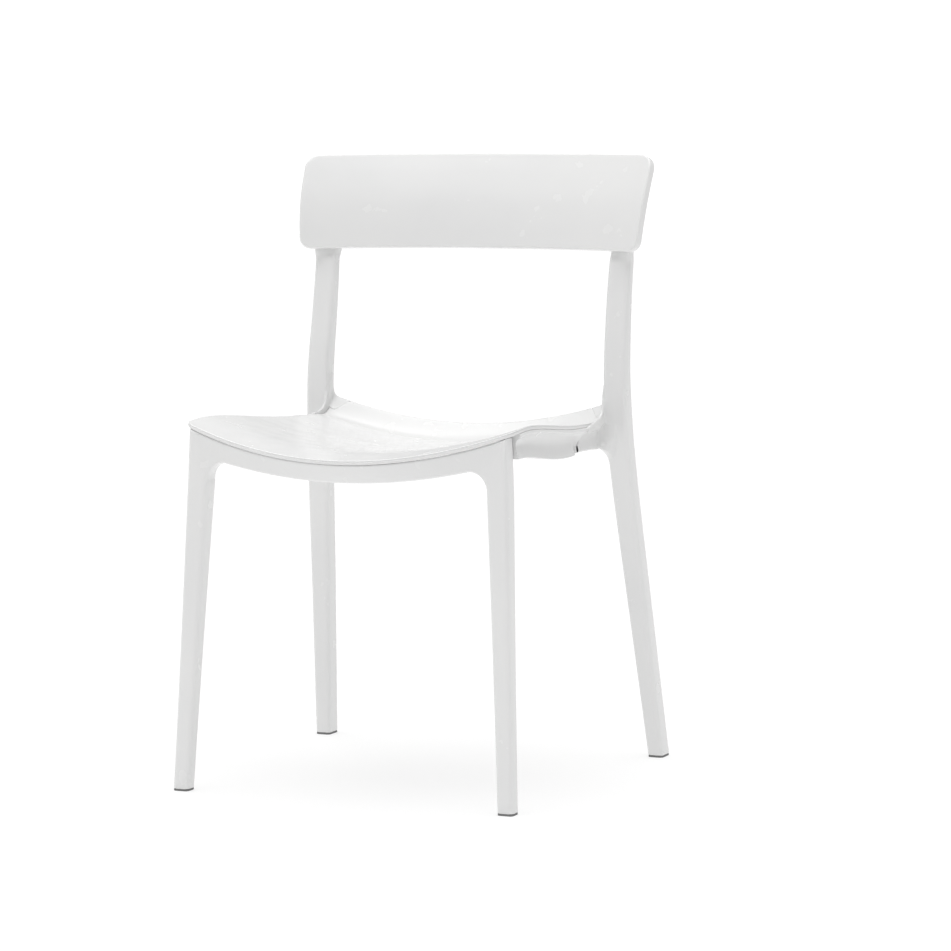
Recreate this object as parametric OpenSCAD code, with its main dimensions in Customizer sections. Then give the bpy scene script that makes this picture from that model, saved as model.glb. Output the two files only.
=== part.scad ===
// Stacking chair with a dished seat on a four-legged moulded frame.
// Millimetres, +Z up, the chair faces -Y and stands on z = 0.

/* [Overall] */
// Height of the back panel's top edge at its middle
chair_height = 812; // [780:1:850]
// Depth from the middle of the front rim to the back of the rear feet
chair_depth = 511; // [470:1:560]
// Height of the seat's front rim at its middle
seat_height = 430; // [400:1:470]

/* [Seat] */
// Width of the seat across its front corners
seat_width = 448; // [400:1:500]
// Length of the seat from the middle of its front rim to its rear edge
seat_length = 425; // [390:1:450]
// Thickness of the seat shell
seat_wall = 5; // [3.5:0.1:7]
// Height of the rim that runs round the shell
seat_rim = 5.6; // [4:0.1:9]
// How far the seat's sides stand above its middle
seat_dish = 40; // [20:1:50]
// How far the front corners lie behind the middle of the front rim
seat_bow = 29; // [10:1:40]
// How far the rear of the seat narrows on each side
seat_taper = 24; // [10:1:35]
// Rise of the seat just behind the front rim
seat_crown = 4.5; // [0:0.5:12]
// Depth of the hollow under the sitter
seat_hollow = 3.5; // [0:0.5:12]
// Rise of the lip along the rear edge of the seat
lip_rise = 19; // [8:1:30]
// How far ahead of the rear edge the lip begins
lip_run = 35; // [20:1:60]
// Radius of the front corners, seen from above
seat_corner = 12; // [8:1:30]

/* [Legs] */
// Width of each front foot
front_foot_w = 21.5; // [18:0.5:30]
// Width of each front leg where it meets the apron
front_knee_w = 28; // [22:0.5:36]
// How far each front foot stands outside the top of its leg
front_splay = 18; // [5:1:30]
// How far each front foot stands ahead of the top of its leg
front_rake = 20; // [5:1:35]
// Width of each rear foot
rear_foot_w = 21.5; // [18:0.5:30]
// Depth of each rear foot
rear_foot_d = 30; // [20:0.5:40]
// Width of each rear leg under the seat and of the upright above it
upright_w = 31; // [24:0.5:38]
// Depth of each rear leg under the seat
rear_knee_d = 26; // [20:0.5:34]
// Depth of each upright where it meets the back panel
upright_top_d = 17; // [13:0.5:24]
// How far each rear foot stands outside the waist of its upright
rear_splay = 31; // [10:1:45]
// Width of the fillet at the root of each upright, which the seat is notched round
root_width = 22.5; // [15:0.5:32]
// Height of the fillet at the root of each upright
root_height = 39; // [20:1:55]
// Radius on the long corners of the legs
leg_soft = 5; // [2:0.5:7]

/* [Apron and rails] */
// Height of the front apron at its middle
apron_height = 24; // [18:0.5:40]
// Thickness of the front apron
apron_depth = 18; // [12:0.5:24]
// How far the apron's lower edge lies behind its upper edge
apron_tuck = 16; // [0:1:24]
// Radius between an apron and its legs
arch_radius = 24; // [14:1:34]
// Height of the rear crossrail at its middle
cross_height = 38; // [25:1:50]
// Thickness of the rear crossrail
cross_depth = 22; // [14:1:26]
// Length of the arms that reach forward from the crossrail
arm_length = 90; // [60:1:120]
// Width of each arm and of each side rail
rail_width = 26; // [24:0.5:32]
// Height of each side rail at its ends
rail_height = 31; // [26:1:40]
// How much taller each side rail is at its middle
rail_belly = 7; // [0:0.5:14]
// Wall of the side rails
rail_wall = 4; // [3:0.5:6]
// Depth of the scoop along the outside of each side rail
rail_scoop = 8; // [2:0.5:9]
// Depth of the scoop along the outside of each arm
arm_scoop = 5; // [1:0.5:7]
// Thickness of the wall at each end of a side rail
rail_end_wall = 6; // [4:0.5:10]
// Thickness of the tabs that carry the seat
tab_wall = 4; // [3:0.5:6]

/* [Back panel] */
// Height of the back panel
panel_height = 127; // [90:1:160]
// Width of the back panel at its top
panel_width = 502; // [440:1:540]
// How much narrower the back panel is at its bottom
panel_taper = 13; // [0:1:40]
// Thickness of the back panel
panel_wall = 11; // [8:0.5:15]
// How far the panel's ends wrap forward of its middle
panel_wrap = 40; // [20:1:55]
// Radius of the panel's corners
panel_corner = 16; // [8:1:30]
// Rise of the panel's top edge at its middle over its ends
panel_crown = 3; // [0:0.5:10]

/* [Glides and fasteners] */
// Thickness of a glide's pad
glide_pad = 2.5; // [1.5:0.1:5]
// How far a glide's pad is set in from the sides of its foot
glide_inset = 0.2; // [0:0.1:2]
// Diameter of a glide's stem
glide_stem = 8; // [6:0.5:10]
// Length of a glide's stem
glide_stem_len = 20; // [12:1:30]
// Diameter of the screws' threads
screw_d = 4.5; // [3.5:0.1:5.5]
// Diameter of the screws' heads
screw_head = 9; // [7:0.1:11]
// Height of the screws' heads
screw_head_h = 2.8; // [2:0.1:4]
// Wall of a screw boss round its bore
boss_wall = 2.6; // [2:0.1:4]
// Height of the bosses under the seat
boss_height = 9; // [6:0.5:14]
// Length of the screws in the side rails
rail_screw_len = 24; // [18:1:32]
// How deep the back screws bite into the back panel
back_screw_grip = 7.5; // [5:0.5:8.5]
// Thickness of upright under the heads of the back screws
back_screw_seat = 6.5; // [4:0.5:9]
// Thickness of the caps over the back screws
cap_height = 4; // [2:0.5:5]

/* [Clearances] */
// Clearance between mouldings that are screwed together
fit_gap = 0.3; // [0.1:0.05:1]
// Clearance between the back panel and the uprights
back_gap = 0.5; // [0.3:0.05:1]
// Clearance of a screw in its through hole, on the diameter
hole_gap = 0.6; // [0.3:0.1:1]

/* [Hidden] */

// Left and right are as seen from the front: the right-hand side is +X.
front_y = -chair_depth / 2;
seat_rear_y = front_y + seat_length;
half_w = seat_width / 2;
// Bore that a screw cuts its thread into
pilot_d = screw_d;
boss_d = screw_d + 2 * boss_wall;
// Small overlap that joins two shapes of one moulding
bite = 1;

// ---------- curves ----------

function lerp(a, b, t) = a + (b - a) * t;
function limit(v, low, high) = max(low, min(high, v));
function chord(p, i) = (p[i + 1][1] - p[i][1]) / (p[i + 1][0] - p[i][0]);
function slope_at(p, i) =
    i == 0 ? chord(p, 0) :
    i == len(p) - 1 ? chord(p, i - 1) :
    (chord(p, i - 1) * (p[i + 1][0] - p[i][0]) + chord(p, i) * (p[i][0] - p[i - 1][0]))
        / (p[i + 1][0] - p[i - 1][0]);
function span(t, p, i = 0) = i >= len(p) - 2 || t <= p[i + 1][0] ? i : span(t, p, i + 1);
// Smooth curve through stations [place, value]
function curve(t, p) =
    let (i = span(t, p), w = p[i + 1][0] - p[i][0], u = (t - p[i][0]) / w)
    (2 * u ^ 3 - 3 * u ^ 2 + 1) * p[i][1] + (u ^ 3 - 2 * u ^ 2 + u) * w * slope_at(p, i)
    + (3 * u ^ 2 - 2 * u ^ 3) * p[i + 1][1] + (u ^ 3 - u ^ 2) * w * slope_at(p, i + 1);

// Round-cornered rectangle as [across, deep] points, with n points to a corner
function soft_box(w, d, r, n) = [
    for (q = [0:3], j = [0:n - 1])
        let (a = 90 * q + 90 * j / (n - 1), sx = (q == 0 || q == 3) ? 1 : -1, sy = q < 2 ? 1 : -1)
        [sx * (w / 2 - r) + r * cos(a), sy * (d / 2 - r) + r * sin(a)]
];

// Faces between rings of n points, the first ring numbered 0 and the last one last
function side_faces(n, last) = [
    for (k = [0:last - 1], i = [0:n - 1])
        let (j = (i + 1) % n, a = k * n, b = a + n)
        each [[a + i, b + i, a + j], [a + j, b + i, b + j]]
];
// The same closed by fans to two middle points that follow the rings in the list of points
function fan_faces(n, last) = concat(
    [for (i = [0:n - 1]) [(last + 1) * n, i, (i + 1) % n]],
    side_faces(n, last),
    [for (i = [0:n - 1]) [(last + 1) * n + 1, last * n + (i + 1) % n, last * n + i]]
);

// Closed solid through rings of equally many points, the first and the last each on a plane
module loft(rings) {
    n = len(rings[0]);
    last = len(rings) - 1;
    polyhedron(
        points = [for (r = rings, p = r) p],
        faces = concat(
            [[for (i = [0:n - 1]) i]],
            side_faces(n, last),
            [[for (i = [n - 1:-1:0]) last * n + i]]
        )
    );
}

// Closed solid through rings whose two ends close to a middle point
module loft_fan(rings) {
    n = len(rings[0]);
    last = len(rings) - 1;
    function middle(r) = (r[0] + r[n / 2]) / 2;
    polyhedron(
        points = concat([for (r = rings, p = r) p], [middle(rings[0]), middle(rings[last])]),
        faces = fan_faces(n, last)
    );
}

module both_sides() {
    children();
    mirror([1, 0, 0]) children();
}

// ---------- layout that the parts share ----------

// Height at which the legs reach their full size
knee_z = seat_height - 40;
foot_z = glide_pad;
front_top_x = half_w - front_knee_w / 2 - 4.6;
front_top_y = front_y + 37;
// Ends of the side rails, between the front legs and the tips of the rear frame's arms
cross_rear_y = seat_rear_y + 1;
cross_front_y = cross_rear_y - cross_depth;
arm_tip_y = cross_front_y - arm_length;
rail_front_y = front_top_y + front_knee_w / 2 + 1;

rear_foot_y = chair_depth / 2 - rear_foot_d / 2;
// The waist is where each leg turns into its upright
waist_z = seat_height + 75;
waist_x = half_w - seat_taper + upright_w / 2 + 0.7;
waist_y = seat_rear_y - 11.5;
panel_low_z = chair_height - panel_height;
panel_top_z = chair_height;
upright_end_z = panel_top_z - 28;
knee_y = lerp(rear_foot_y, waist_y, 0.86);
// Lines of the legs and uprights seen from the side and from the front, by height
rear_line_y = [
    [0, rear_foot_y],
    [knee_z / 2, (rear_foot_y + knee_y) / 2],
    [knee_z, knee_y],
    [waist_z, waist_y],
    [lerp(waist_z, panel_low_z, 0.52), waist_y + 10],
    [panel_low_z, waist_y + 23]
];
rear_line_x = [
    [0, waist_x + rear_splay],
    [knee_z, waist_x + rear_splay * 0.16],
    [waist_z, waist_x],
    [lerp(waist_z, panel_low_z, 0.6), waist_x - 2.5],
    [panel_low_z, waist_x - 1.8],
    [upright_end_z, waist_x + 0.5]
];
rear_width = [
    [0, rear_foot_w],
    [knee_z, upright_w - 0.5],
    [waist_z, upright_w],
    [upright_end_z, upright_w - 1]
];
rear_depth = [
    [0, rear_foot_d],
    [knee_z, rear_knee_d],
    [waist_z, rear_knee_d],
    [panel_low_z, upright_top_d]
];

// Front of each leg and upright
function root_front_y(z) = curve(z, rear_line_y) - curve(z, rear_depth) / 2;
// Inner corner of the notch that each rear corner has round the root of its upright
notch_x = half_w - seat_taper - root_width;
notch_y = root_front_y(seat_bed(notch_x)) - fit_gap;

// ---------- seat surface ----------

function rim_y(x) = front_y + seat_bow * (x / half_w) ^ 2;
taper_start_y = front_y + 65;
function side_x(y) =
    half_w - seat_taper * max(0, (y - taper_start_y) / (seat_rear_y - taper_start_y));
// Rise of the seat along its middle, as stations from the front rim to the rear edge
seat_profile = [
    [front_y, 0],
    [front_y + 80, seat_crown],
    [front_y + 255, -seat_hollow],
    [seat_rear_y - lip_run - 25, -seat_hollow - 0.5],
    [seat_rear_y - lip_run, -seat_hollow + 0.5],
    [seat_rear_y, lip_rise]
];
// Place along the seat's middle that has the same share of the way from rim to rear edge
function along(x, y) =
    front_y + limit((y - rim_y(x)) / (seat_rear_y - rim_y(x)), 0, 1) * seat_length;
function seat_rise(x, y) = curve(along(x, y), seat_profile);
function seat_bed(x) = seat_height + seat_dish * (x / half_w) ^ 2;
function seat_top(x, y) = seat_bed(x) + seat_rise(x, y);
// Top of what lies under the seat's rim
function under_rim(x, y) = seat_top(x, y) - seat_rim - fit_gap;

notch_soft = 2;
// Outline of the seat from above, from the middle of the rear edge to the middle of the rim
function seat_half() = concat(
    [for (i = [0:7]) [i / 7 * (notch_x - notch_soft), seat_rear_y]],
    [for (i = [0:2]) [notch_x, lerp(seat_rear_y - notch_soft, notch_y, i / 2)]],
    [[side_x(notch_y) - notch_soft, notch_y]],
    [for (i = [0:11])
        let (y = lerp(notch_y - notch_soft, rim_y(half_w) + seat_corner, i / 11))
        [side_x(y), y]],
    [for (i = [1:5])
        let (a = -18 * i, x = half_w - seat_corner + seat_corner * cos(a))
        [x, rim_y(x) + seat_corner + seat_corner * sin(a)]],
    [for (i = [1:8]) let (x = (half_w - seat_corner) * (1 - i / 8)) [x, rim_y(x)]]
);
function seat_outline() =
    let (h = seat_half(), n = len(h))
    concat(h, [for (i = [n - 2:-1:1]) [-h[i][0], h[i][1]]]);

seat_mid_y = (front_y + seat_rear_y) / 2;
function seat_ring(share, drop, under) = [
    for (p = seat_outline())
        let (x = p[0] * share, y = seat_mid_y + (p[1] - seat_mid_y) * share)
        [x, y, seat_top(x, y) - drop - under]
];
// Places of the screws that hold the seat, [x, y] on the right-hand side. They stand inside the
// rails.
seat_screw_inset = 1 + rail_width + boss_d / 2 + 1.5;
seat_screw_spots = [for (k = [0:2])
    let (y = lerp(rail_front_y, arm_tip_y, (k + 0.75) / 3.5))
    [side_x(y) - seat_screw_inset, y]];
function boss_z(p) = seat_top(p[0], p[1]) - seat_wall - boss_height;

module seat_panel() {
    color("white")
    difference() {
        union() {
            seat_shell();
            both_sides()
                for (p = seat_screw_spots)
                    translate([p[0], p[1], boss_z(p)])
                        cylinder(d = boss_d, h = boss_height + seat_wall / 2, $fn = 32);
        }
        both_sides()
            for (p = seat_screw_spots)
                translate([p[0], p[1], boss_z(p) - bite])
                    cylinder(d = pilot_d, h = boss_height + bite + 2, $fn = 32);
    }
}

module seat_shell() {
    shares = [0.16, 0.32, 0.48, 0.64, 0.76, 0.84, 0.9, 0.94, 0.97, 0.99];
    edge = 1.2;
    top = [for (s = shares) seat_ring(s, 0, 0)];
    bottom = [for (i = [len(shares) - 1:-1:0]) seat_ring(shares[i], seat_wall, 0)];
    rings = concat(
        top,
        [seat_ring(1, 0, edge), seat_ring(1, 0, seat_rim - edge), seat_ring(0.994, 0, seat_rim)],
        bottom
    );
    n = len(rings[0]);
    last = len(rings) - 1;
    points = concat(
        [for (r = rings, p = r) p],
        [[0, seat_mid_y, seat_top(0, seat_mid_y)],
            [0, seat_mid_y, seat_top(0, seat_mid_y) - seat_wall]]
    );
    polyhedron(points = points, faces = fan_faces(n, last));
}

// ---------- front frame ----------

// Setback of the frame's front face from the seat's rim
apron_setback = 1.5;
apron_soft = 3;
front_flare = 1.4;
function front_x(z) = front_top_x + front_splay * (1 - z / knee_z);
function front_leg_y(z) = front_top_y - front_rake * (1 - z / knee_z);
function front_w(z) = lerp(front_foot_w, front_knee_w, limit(z / knee_z, 0, 1) ^ front_flare);
// The apron's lower edge is a little flatter than the seat
apron_dish = seat_dish * 0.85;
function apron_top_z(x) = under_rim(x, rim_y(x));
function apron_bottom_z(x) =
    seat_height - seat_rim - apron_height + apron_dish * (x / half_w) ^ 2;
// Middle of the apron's thickness at its top and its bottom edge
function apron_y_top(x) = rim_y(x) + apron_setback + apron_depth / 2;
function apron_y_bottom(x) = apron_y_top(x) + apron_tuck * (1 - (x / half_w) ^ 2);

// Ring across a member from its inner to its outer edge. Each edge is [x, z, y of its middle].
function edge_ring(inner, outer, deep, r, n) =
    let (w = norm([outer[0] - inner[0], outer[1] - inner[1]]))
    [for (q = soft_box(w, deep, r, n))
        let (t = 0.5 + q[0] / w)
        [lerp(inner[0], outer[0], t), lerp(inner[2], outer[2], t) + q[1],
            lerp(inner[1], outer[1], t)]];

arch_x = front_x(knee_z) - front_w(knee_z) / 2 - arch_radius;
arch_z = apron_bottom_z(arch_x) - arch_radius;
front_leg_z = [foot_z, 60, 130, 200, 270, 335, arch_z];
function front_leg_rings() = [for (z = front_leg_z)
    let (w = front_w(z), x = front_x(z), y = front_leg_y(z))
    edge_ring([x - w / 2, z, y], [x + w / 2, z, y], w, leg_soft, 3)];
// The member turns from leg to apron round the arch. Its outer edge follows the leg's side up to
// the corner under the seat and then the seat's rim.
corner_x = front_x(knee_z) + front_knee_w / 2 - 3;
corner_z = apron_top_z(corner_x);
side_turns = 3;
rim_turns = 3;
turns = side_turns + rim_turns + 1;
function arch_outer(k) =
    k <= side_turns
    ? let (t = k / side_turns)
        [lerp(front_x(arch_z) + front_w(arch_z) / 2, corner_x, t), lerp(arch_z, corner_z, t)]
    : let (x = lerp(corner_x, arch_x, (k - side_turns) / (rim_turns + 1)))
        [x, apron_top_z(x)];
function arch_inner(t) =
    [arch_x + arch_radius * cos(90 * t), arch_z + arch_radius * sin(90 * t),
        lerp(front_leg_y(arch_z), apron_y_bottom(arch_x), t)];
function arch_ring(t, outer) =
    edge_ring(
        arch_inner(t),
        concat(outer, lerp(front_leg_y(arch_z), apron_y_top(outer[0]), limit(2 * t - 0.5, 0, 1))),
        lerp(front_knee_w, apron_depth, t), lerp(leg_soft, apron_soft, t), 3);
function arch_rings() = [for (k = [1:turns - 1]) arch_ring(k / turns, arch_outer(k))];
function apron_ring(x) =
    edge_ring([x, apron_bottom_z(x), apron_y_bottom(x)], [x, apron_top_z(x), apron_y_top(x)],
        apron_depth, apron_soft, 3);
apron_steps = 8;
function apron_rings() = [for (i = [0:apron_steps - 1]) apron_ring(arch_x * (1 - i / apron_steps))];
function mirrored(ring) = [for (p = ring) [-p[0], p[1], p[2]]];
function reversed(v) = [for (i = [len(v) - 1:-1:0]) v[i]];

module front_frame() {
    half = concat(front_leg_rings(), arch_rings(), apron_rings());
    other_half = reversed([for (r = half) mirrored(r)]);
    color("white")
    difference() {
        loft(concat(half, [apron_ring(0)], other_half));
        both_sides() {
            foot_bore(front_x(foot_z), front_leg_y(foot_z));
            translate(front_joint_screw) rotate([90, 0, 0])
                cylinder(d = pilot_d, h = joint_grip, $fn = 32);
        }
    }
}

module foot_bore(x, y) {
    translate([x, y, foot_z - bite])
        cylinder(d = glide_stem + 0.1, h = glide_stem_len + bite + 1, $fn = 48);
}

// ---------- rear frame ----------

// Front surface of the back panel
panel_profile = [
    [panel_low_z, 0],
    [panel_low_z + 34, 7],
    [panel_low_z + 66, 16.5],
    [panel_low_z + 100, 32],
    [panel_top_z, 46]
];
panel_mid_y = waist_y + 31;
panel_wrap_at = panel_width / 2 - 4;
function panel_y(x, z) =
    panel_mid_y + curve(z, panel_profile) - panel_wrap * (abs(x) / panel_wrap_at) ^ 2.5;
// Direction through the panel's wall at a place, from front to back
function panel_normal(x, z) =
    let (
        step = 2,
        nx = (panel_y(x - step, z) - panel_y(x + step, z)) / (2 * step),
        nz = (panel_y(x, z - step) - panel_y(x, z + step)) / (2 * step)
    )
    [nx, 1, nz] / norm([nx, 1, nz]);
// Rear surface of the panel, as far behind its front along Y as the wall reaches
function panel_back_y(x, z) = panel_y(x, z) + panel_wall / panel_normal(x, z)[1];

// Behind the panel each upright follows the panel's back, and thins a little towards its end
upright_thin = 4;
upright_soft = 3;
function upright_ring(z) =
    let (
        w = curve(z, rear_width), x = curve(z, rear_line_x),
        deep = upright_top_d - upright_thin * (z - panel_low_z) / (upright_end_z - panel_low_z),
        rear = panel_back_y(x, z) + back_gap + deep
    )
    [for (q = soft_box(w, deep, upright_soft, 3))
        let (px = x + q[0])
        [px, lerp(panel_back_y(px, z) + back_gap, rear, 0.5 + q[1] / deep), z]];
function rear_ring(z) =
    let (
        w = curve(z, rear_width), d = curve(z, rear_depth),
        x = curve(z, rear_line_x), y = curve(z, rear_line_y)
    )
    [for (q = soft_box(w, d, leg_soft, 3)) [x + q[0], y + q[1], z]];
function rear_side_rings() = concat(
    [for (z = [foot_z, 80, 160, 240, 320]) rear_ring(z)],
    [for (i = [0:9]) rear_ring(lerp(knee_z, panel_low_z - 16, i / 9))],
    [for (i = [0:7]) upright_ring(lerp(panel_low_z - 5, upright_end_z, i / 7))]
);

// Crossrail: its top follows the underside of the seat's rear edge
cross_soft = 3;
function cross_top_z(x, y) = under_rim(min(abs(x), notch_x), min(y, seat_rear_y));
function cross_bottom_z(x) =
    cross_top_z(0, seat_rear_y) - cross_height + seat_dish * 0.75 * (x / half_w) ^ 2;
cross_arch_x = waist_x - upright_w / 2 - arch_radius + 3;
// Fall of the crossrail's lower edge into the round under its ends
function arch_fall(x) =
    let (t = limit((abs(x) - cross_arch_x) / arch_radius, 0, 1))
    arch_radius * (1 - sqrt(1 - t ^ 2));
function cross_ring(x) =
    let (zb = cross_bottom_z(x) - arch_fall(x), r = cross_soft)
    concat(
        [[x, cross_rear_y, cross_top_z(x, cross_rear_y) - r],
            [x, cross_rear_y, zb + r],
            [x, cross_rear_y - r, zb],
            [x, cross_front_y + r, zb],
            [x, cross_front_y, zb + r],
            [x, cross_front_y, cross_top_z(x, cross_front_y) - r]],
        [for (i = [0:3])
            let (y = lerp(cross_front_y + 2, cross_rear_y - 2, i / 3))
            [x, y, cross_top_z(x, y)]]
    );
cross_steps = 12;
// Share of the steps that is spent before the round begins
cross_even = 0.6;
function cross_place(s) =
    let (a = abs(s))
    sign(s) * (a < cross_even
        ? cross_arch_x * a / cross_even
        : cross_arch_x + (arch_radius + 4) * sin(90 * (a - cross_even) / (1 - cross_even)));
function cross_rings() =
    [for (i = [cross_steps:-1:-cross_steps]) cross_ring(cross_place(i / cross_steps))];

// Arm: it reaches forward under the seat's edge to the side rail, with a scooped outer side
arm_lean = 1;
arm_soft = 3;
// How far the arm's top stays under the crossrail's, where the seat curves up to its lip
arm_drop = 0.4;
arm_tuck = 3;
scoop_steps = 4;
function arm_out_x(y) = side_x(y) - 1;
function arm_in_x(y) = arm_out_x(y) - rail_width;
function arm_setback(t) = arm_tuck * t + arm_scoop * 4 * t * (1 - t);
function arm_ring(y, lean, zb) =
    let (
        xi = arm_in_x(y), xo = arm_out_x(y),
        mid = under_rim(xo, y) - rail_height / 2,
        z_out = under_rim(xo, min(y, cross_front_y)) - arm_drop,
        z_in = under_rim(xi, min(y, cross_front_y)) - arm_drop
    )
    [for (c = concat(
            [for (i = [0:scoop_steps])
                let (t = i / scoop_steps)
                [xo - arm_setback(t), lerp(z_out, zb + arm_soft, t)]],
            [[xo - arm_tuck - arm_soft, zb], [xi, zb], [xi, z_in]]))
        [c[0], y + lean * (c[1] - mid), c[1]]];
function arm_low(y) = under_rim(arm_out_x(y), y) - rail_height;
arm_end_y = lerp(cross_front_y, cross_rear_y, 0.4);
arm_steps = 8;
function arm_rings() = concat(
    [for (i = [0:arm_steps])
        let (y = lerp(arm_tip_y, cross_front_y + 1, i / arm_steps))
        arm_ring(y, arm_lean * max(0, 1 - i / 3), arm_low(y))],
    [arm_ring(arm_end_y, 0, cross_bottom_z(arm_in_x(arm_end_y)) + cross_soft + 2)]
);

// Cheek: the rail's bead runs on along the arm, outside the seat's edge, and sweeps up into the
// front of the upright. Its tip sinks into the arm.
cheek_start_y = cross_front_y + 8;
cheek_end_y = arm_tip_y + 20;
cheek_rise = 27;
cheek_wall = 3.5;
cheek_depth = 5;
cheek_steps = 9;
function cheek_ring(t) =
    let (
        y = lerp(cheek_start_y, cheek_end_y, t),
        edge = seat_top(side_x(y), min(y, notch_y)),
        inside = side_x(y) + fit_gap + (t == 0 ? leg_soft : 0),
        shown = limit((1 - t) * 5, 0, 1),
        xo = lerp(side_x(y) - 2.5, inside + cheek_wall, shown),
        xi = min(inside, xo - 0.8), soft = limit((xo - xi) / 2, 0.4, 1.5),
        low = edge - seat_rim - 3,
        zt = lerp(low + 1, edge + 1 + cheek_rise * (1 - t) ^ 4, limit((xo - inside - 0.8) / 2, 0, 1)),
        zb = low - cheek_depth * shown
    )
    [[xi - 4, y, low], [xi, y, low], [xi, y, zt], [xo - soft, y, zt], [xo, y, zt - soft],
        [xo, y, lerp(low, zb, 0.4)], [xi - 4, y, zb - 3]];

// Root: the fillet between each upright's inner side and the seat. It stands in the seat's notch.
root_full_w = waist_x - upright_w / 2 + 1.3 - notch_x;
root_low_z = seat_top(notch_x, notch_y) - seat_rim - 6;
// Flat front of the root, through the front of the upright at the root's two ends
root_setback = 0.6;
root_z = [seat_height, seat_height + seat_dish + root_height];
function root_face_y(z) =
    let (t = (z - root_z[0]) / (root_z[1] - root_z[0]))
    root_setback + lerp(root_front_y(root_z[0]), root_front_y(root_z[1]), t);
// The larger of two rises, with a smooth turn from one to the other
function blended(a, b) = (max(a, 0) ^ 3 + max(b, 0) ^ 3) ^ (1 / 3) + min(a, 0);
function root_top(a, y) =
    let (x = notch_x + fit_gap + (root_full_w - fit_gap) * sin(a))
    [x, seat_bed(x) + blended(seat_rise(notch_x, min(y, seat_rear_y)), root_height * (1 - cos(a)))];
function root_ring(t) =
    let (
        rear = cross_rear_y + 0.8,
        points = concat(
            [for (a = [0:15:90]) root_top(a, lerp(notch_y, rear, t))],
            [let (p = root_top(90, lerp(notch_y, rear, t))) [p[0] + 4, p[1]]],
            [[notch_x + root_full_w + 4, root_low_z], [notch_x + fit_gap, root_low_z]]
        )
    )
    [for (p = points) [p[0], lerp(root_face_y(p[1]), rear, t), p[1]]];

module rear_frame() {
    color("white")
    difference() {
        union() {
            loft(cross_rings());
            both_sides() {
                loft(rear_side_rings());
                loft(arm_rings());
                loft([for (i = [0:cheek_steps]) cheek_ring(1 - i / cheek_steps)]);
                loft([for (i = [0:5]) root_ring(i / 5)]);
            }
        }
        both_sides() {
            foot_bore(curve(foot_z, rear_line_x), curve(foot_z, rear_line_y));
            translate([rear_joint_screw[0], rear_joint_screw[1] - 8, rear_joint_screw[2]])
                rotate([-90, 0, 0])
                    cylinder(d = pilot_d, h = joint_grip + 8, $fn = 32);
            for (z = back_screw_z) back_screw_place(z) {
                translate([0, 0, -back_screw_seat - 1])
                    cylinder(d = screw_d + hole_gap, h = back_screw_seat + 3, $fn = 32);
                translate([0, 0, -back_screw_seat - 30])
                    cylinder(d = back_recess_d, h = 30, $fn = 48);
            }
        }
    }
}

// ---------- side rails ----------

function rail_h(y) =
    rail_height + rail_belly * sin(180 * limit((y - rail_front_y) / (arm_tip_y - rail_front_y), 0, 1));
// Section of the rail: a bead along its top, then a scooped web, then the flat inner side
rail_bead = 1.5;
bead_drop = 6;
web_tuck = 3;
web_steps = 5;
function web_setback(t) = 1 + web_tuck * t + rail_scoop * 4 * t * (1 - t) * (1 - 0.35 * t);
function rail_section(y) =
    let (x = side_x(y), zt = under_rim(x, y), h = rail_h(y), xi = arm_in_x(y))
    concat(
        [[x - 0.5, zt], [x + rail_bead, zt - 1.8], [x + rail_bead, zt - 4.6], [x - 1, zt - bead_drop]],
        [for (i = [1:web_steps])
            [x - web_setback(i / web_steps), zt - lerp(bead_drop, h, i / web_steps)]],
        [[xi, zt - h], [xi, under_rim(xi, y)]]
    );
// A ring leans by as much as the arm's tip does where a rail meets it
function leaning(section, y, lean) =
    let (mid = under_rim(side_x(y), y) - rail_height / 2)
    [for (c = section) [c[0], y + lean * (c[1] - mid), c[1]]];
rail_steps = 9;
function rail_rings() = [for (i = [0:rail_steps])
    let (y = lerp(rail_front_y + fit_gap, arm_tip_y - fit_gap, i / rail_steps))
    leaning(rail_section(y), y, i == rail_steps ? arm_lean : 0)];
// Pocket in the rail's inner side
function pocket_section(y) =
    let (
        x = side_x(y), xi = arm_in_x(y) - 1, xo = x - 2 - rail_scoop - rail_wall,
        zb = under_rim(x, y) - rail_h(y) + rail_wall
    )
    [[xo, under_rim(xo, y) - rail_wall], [xo, zb], [xi, zb], [xi, under_rim(xi, y) - rail_wall]];
pocket_steps = 6;
pocket_ends = [rail_front_y + rail_end_wall, arm_tip_y - rail_end_wall - 2];
function pocket_rings() = [for (i = [0:pocket_steps])
    let (y = lerp(pocket_ends[0], pocket_ends[1], i / pocket_steps))
    leaning(pocket_section(y), y, i == pocket_steps ? arm_lean : 0)];

// Screws from each rail into the front leg and the arm, as [x, y of the joint, z]
rail_screw_x = 2 + rail_scoop + rail_wall + screw_head / 2 + 1;
joint_grip = rail_screw_len - rail_end_wall + 2;
function rail_mid_z(y) = under_rim(side_x(y), y) - rail_height / 2 - 3;
front_joint_screw = [side_x(rail_front_y) - rail_screw_x, rail_front_y, rail_mid_z(rail_front_y)];
rear_joint_screw =
    let (z = rail_mid_z(arm_tip_y))
    [side_x(arm_tip_y) - rail_screw_x, arm_tip_y - 3 * arm_lean, z];

module rail_tab(p) {
    wide = boss_d + 4;
    web_x = side_x(p[1]) - rail_scoop - rail_wall;
    translate([p[0] - wide / 2, p[1] - wide / 2, boss_z(p) - fit_gap - tab_wall])
        cube([web_x - p[0] + wide / 2, wide, tab_wall]);
}

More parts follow.
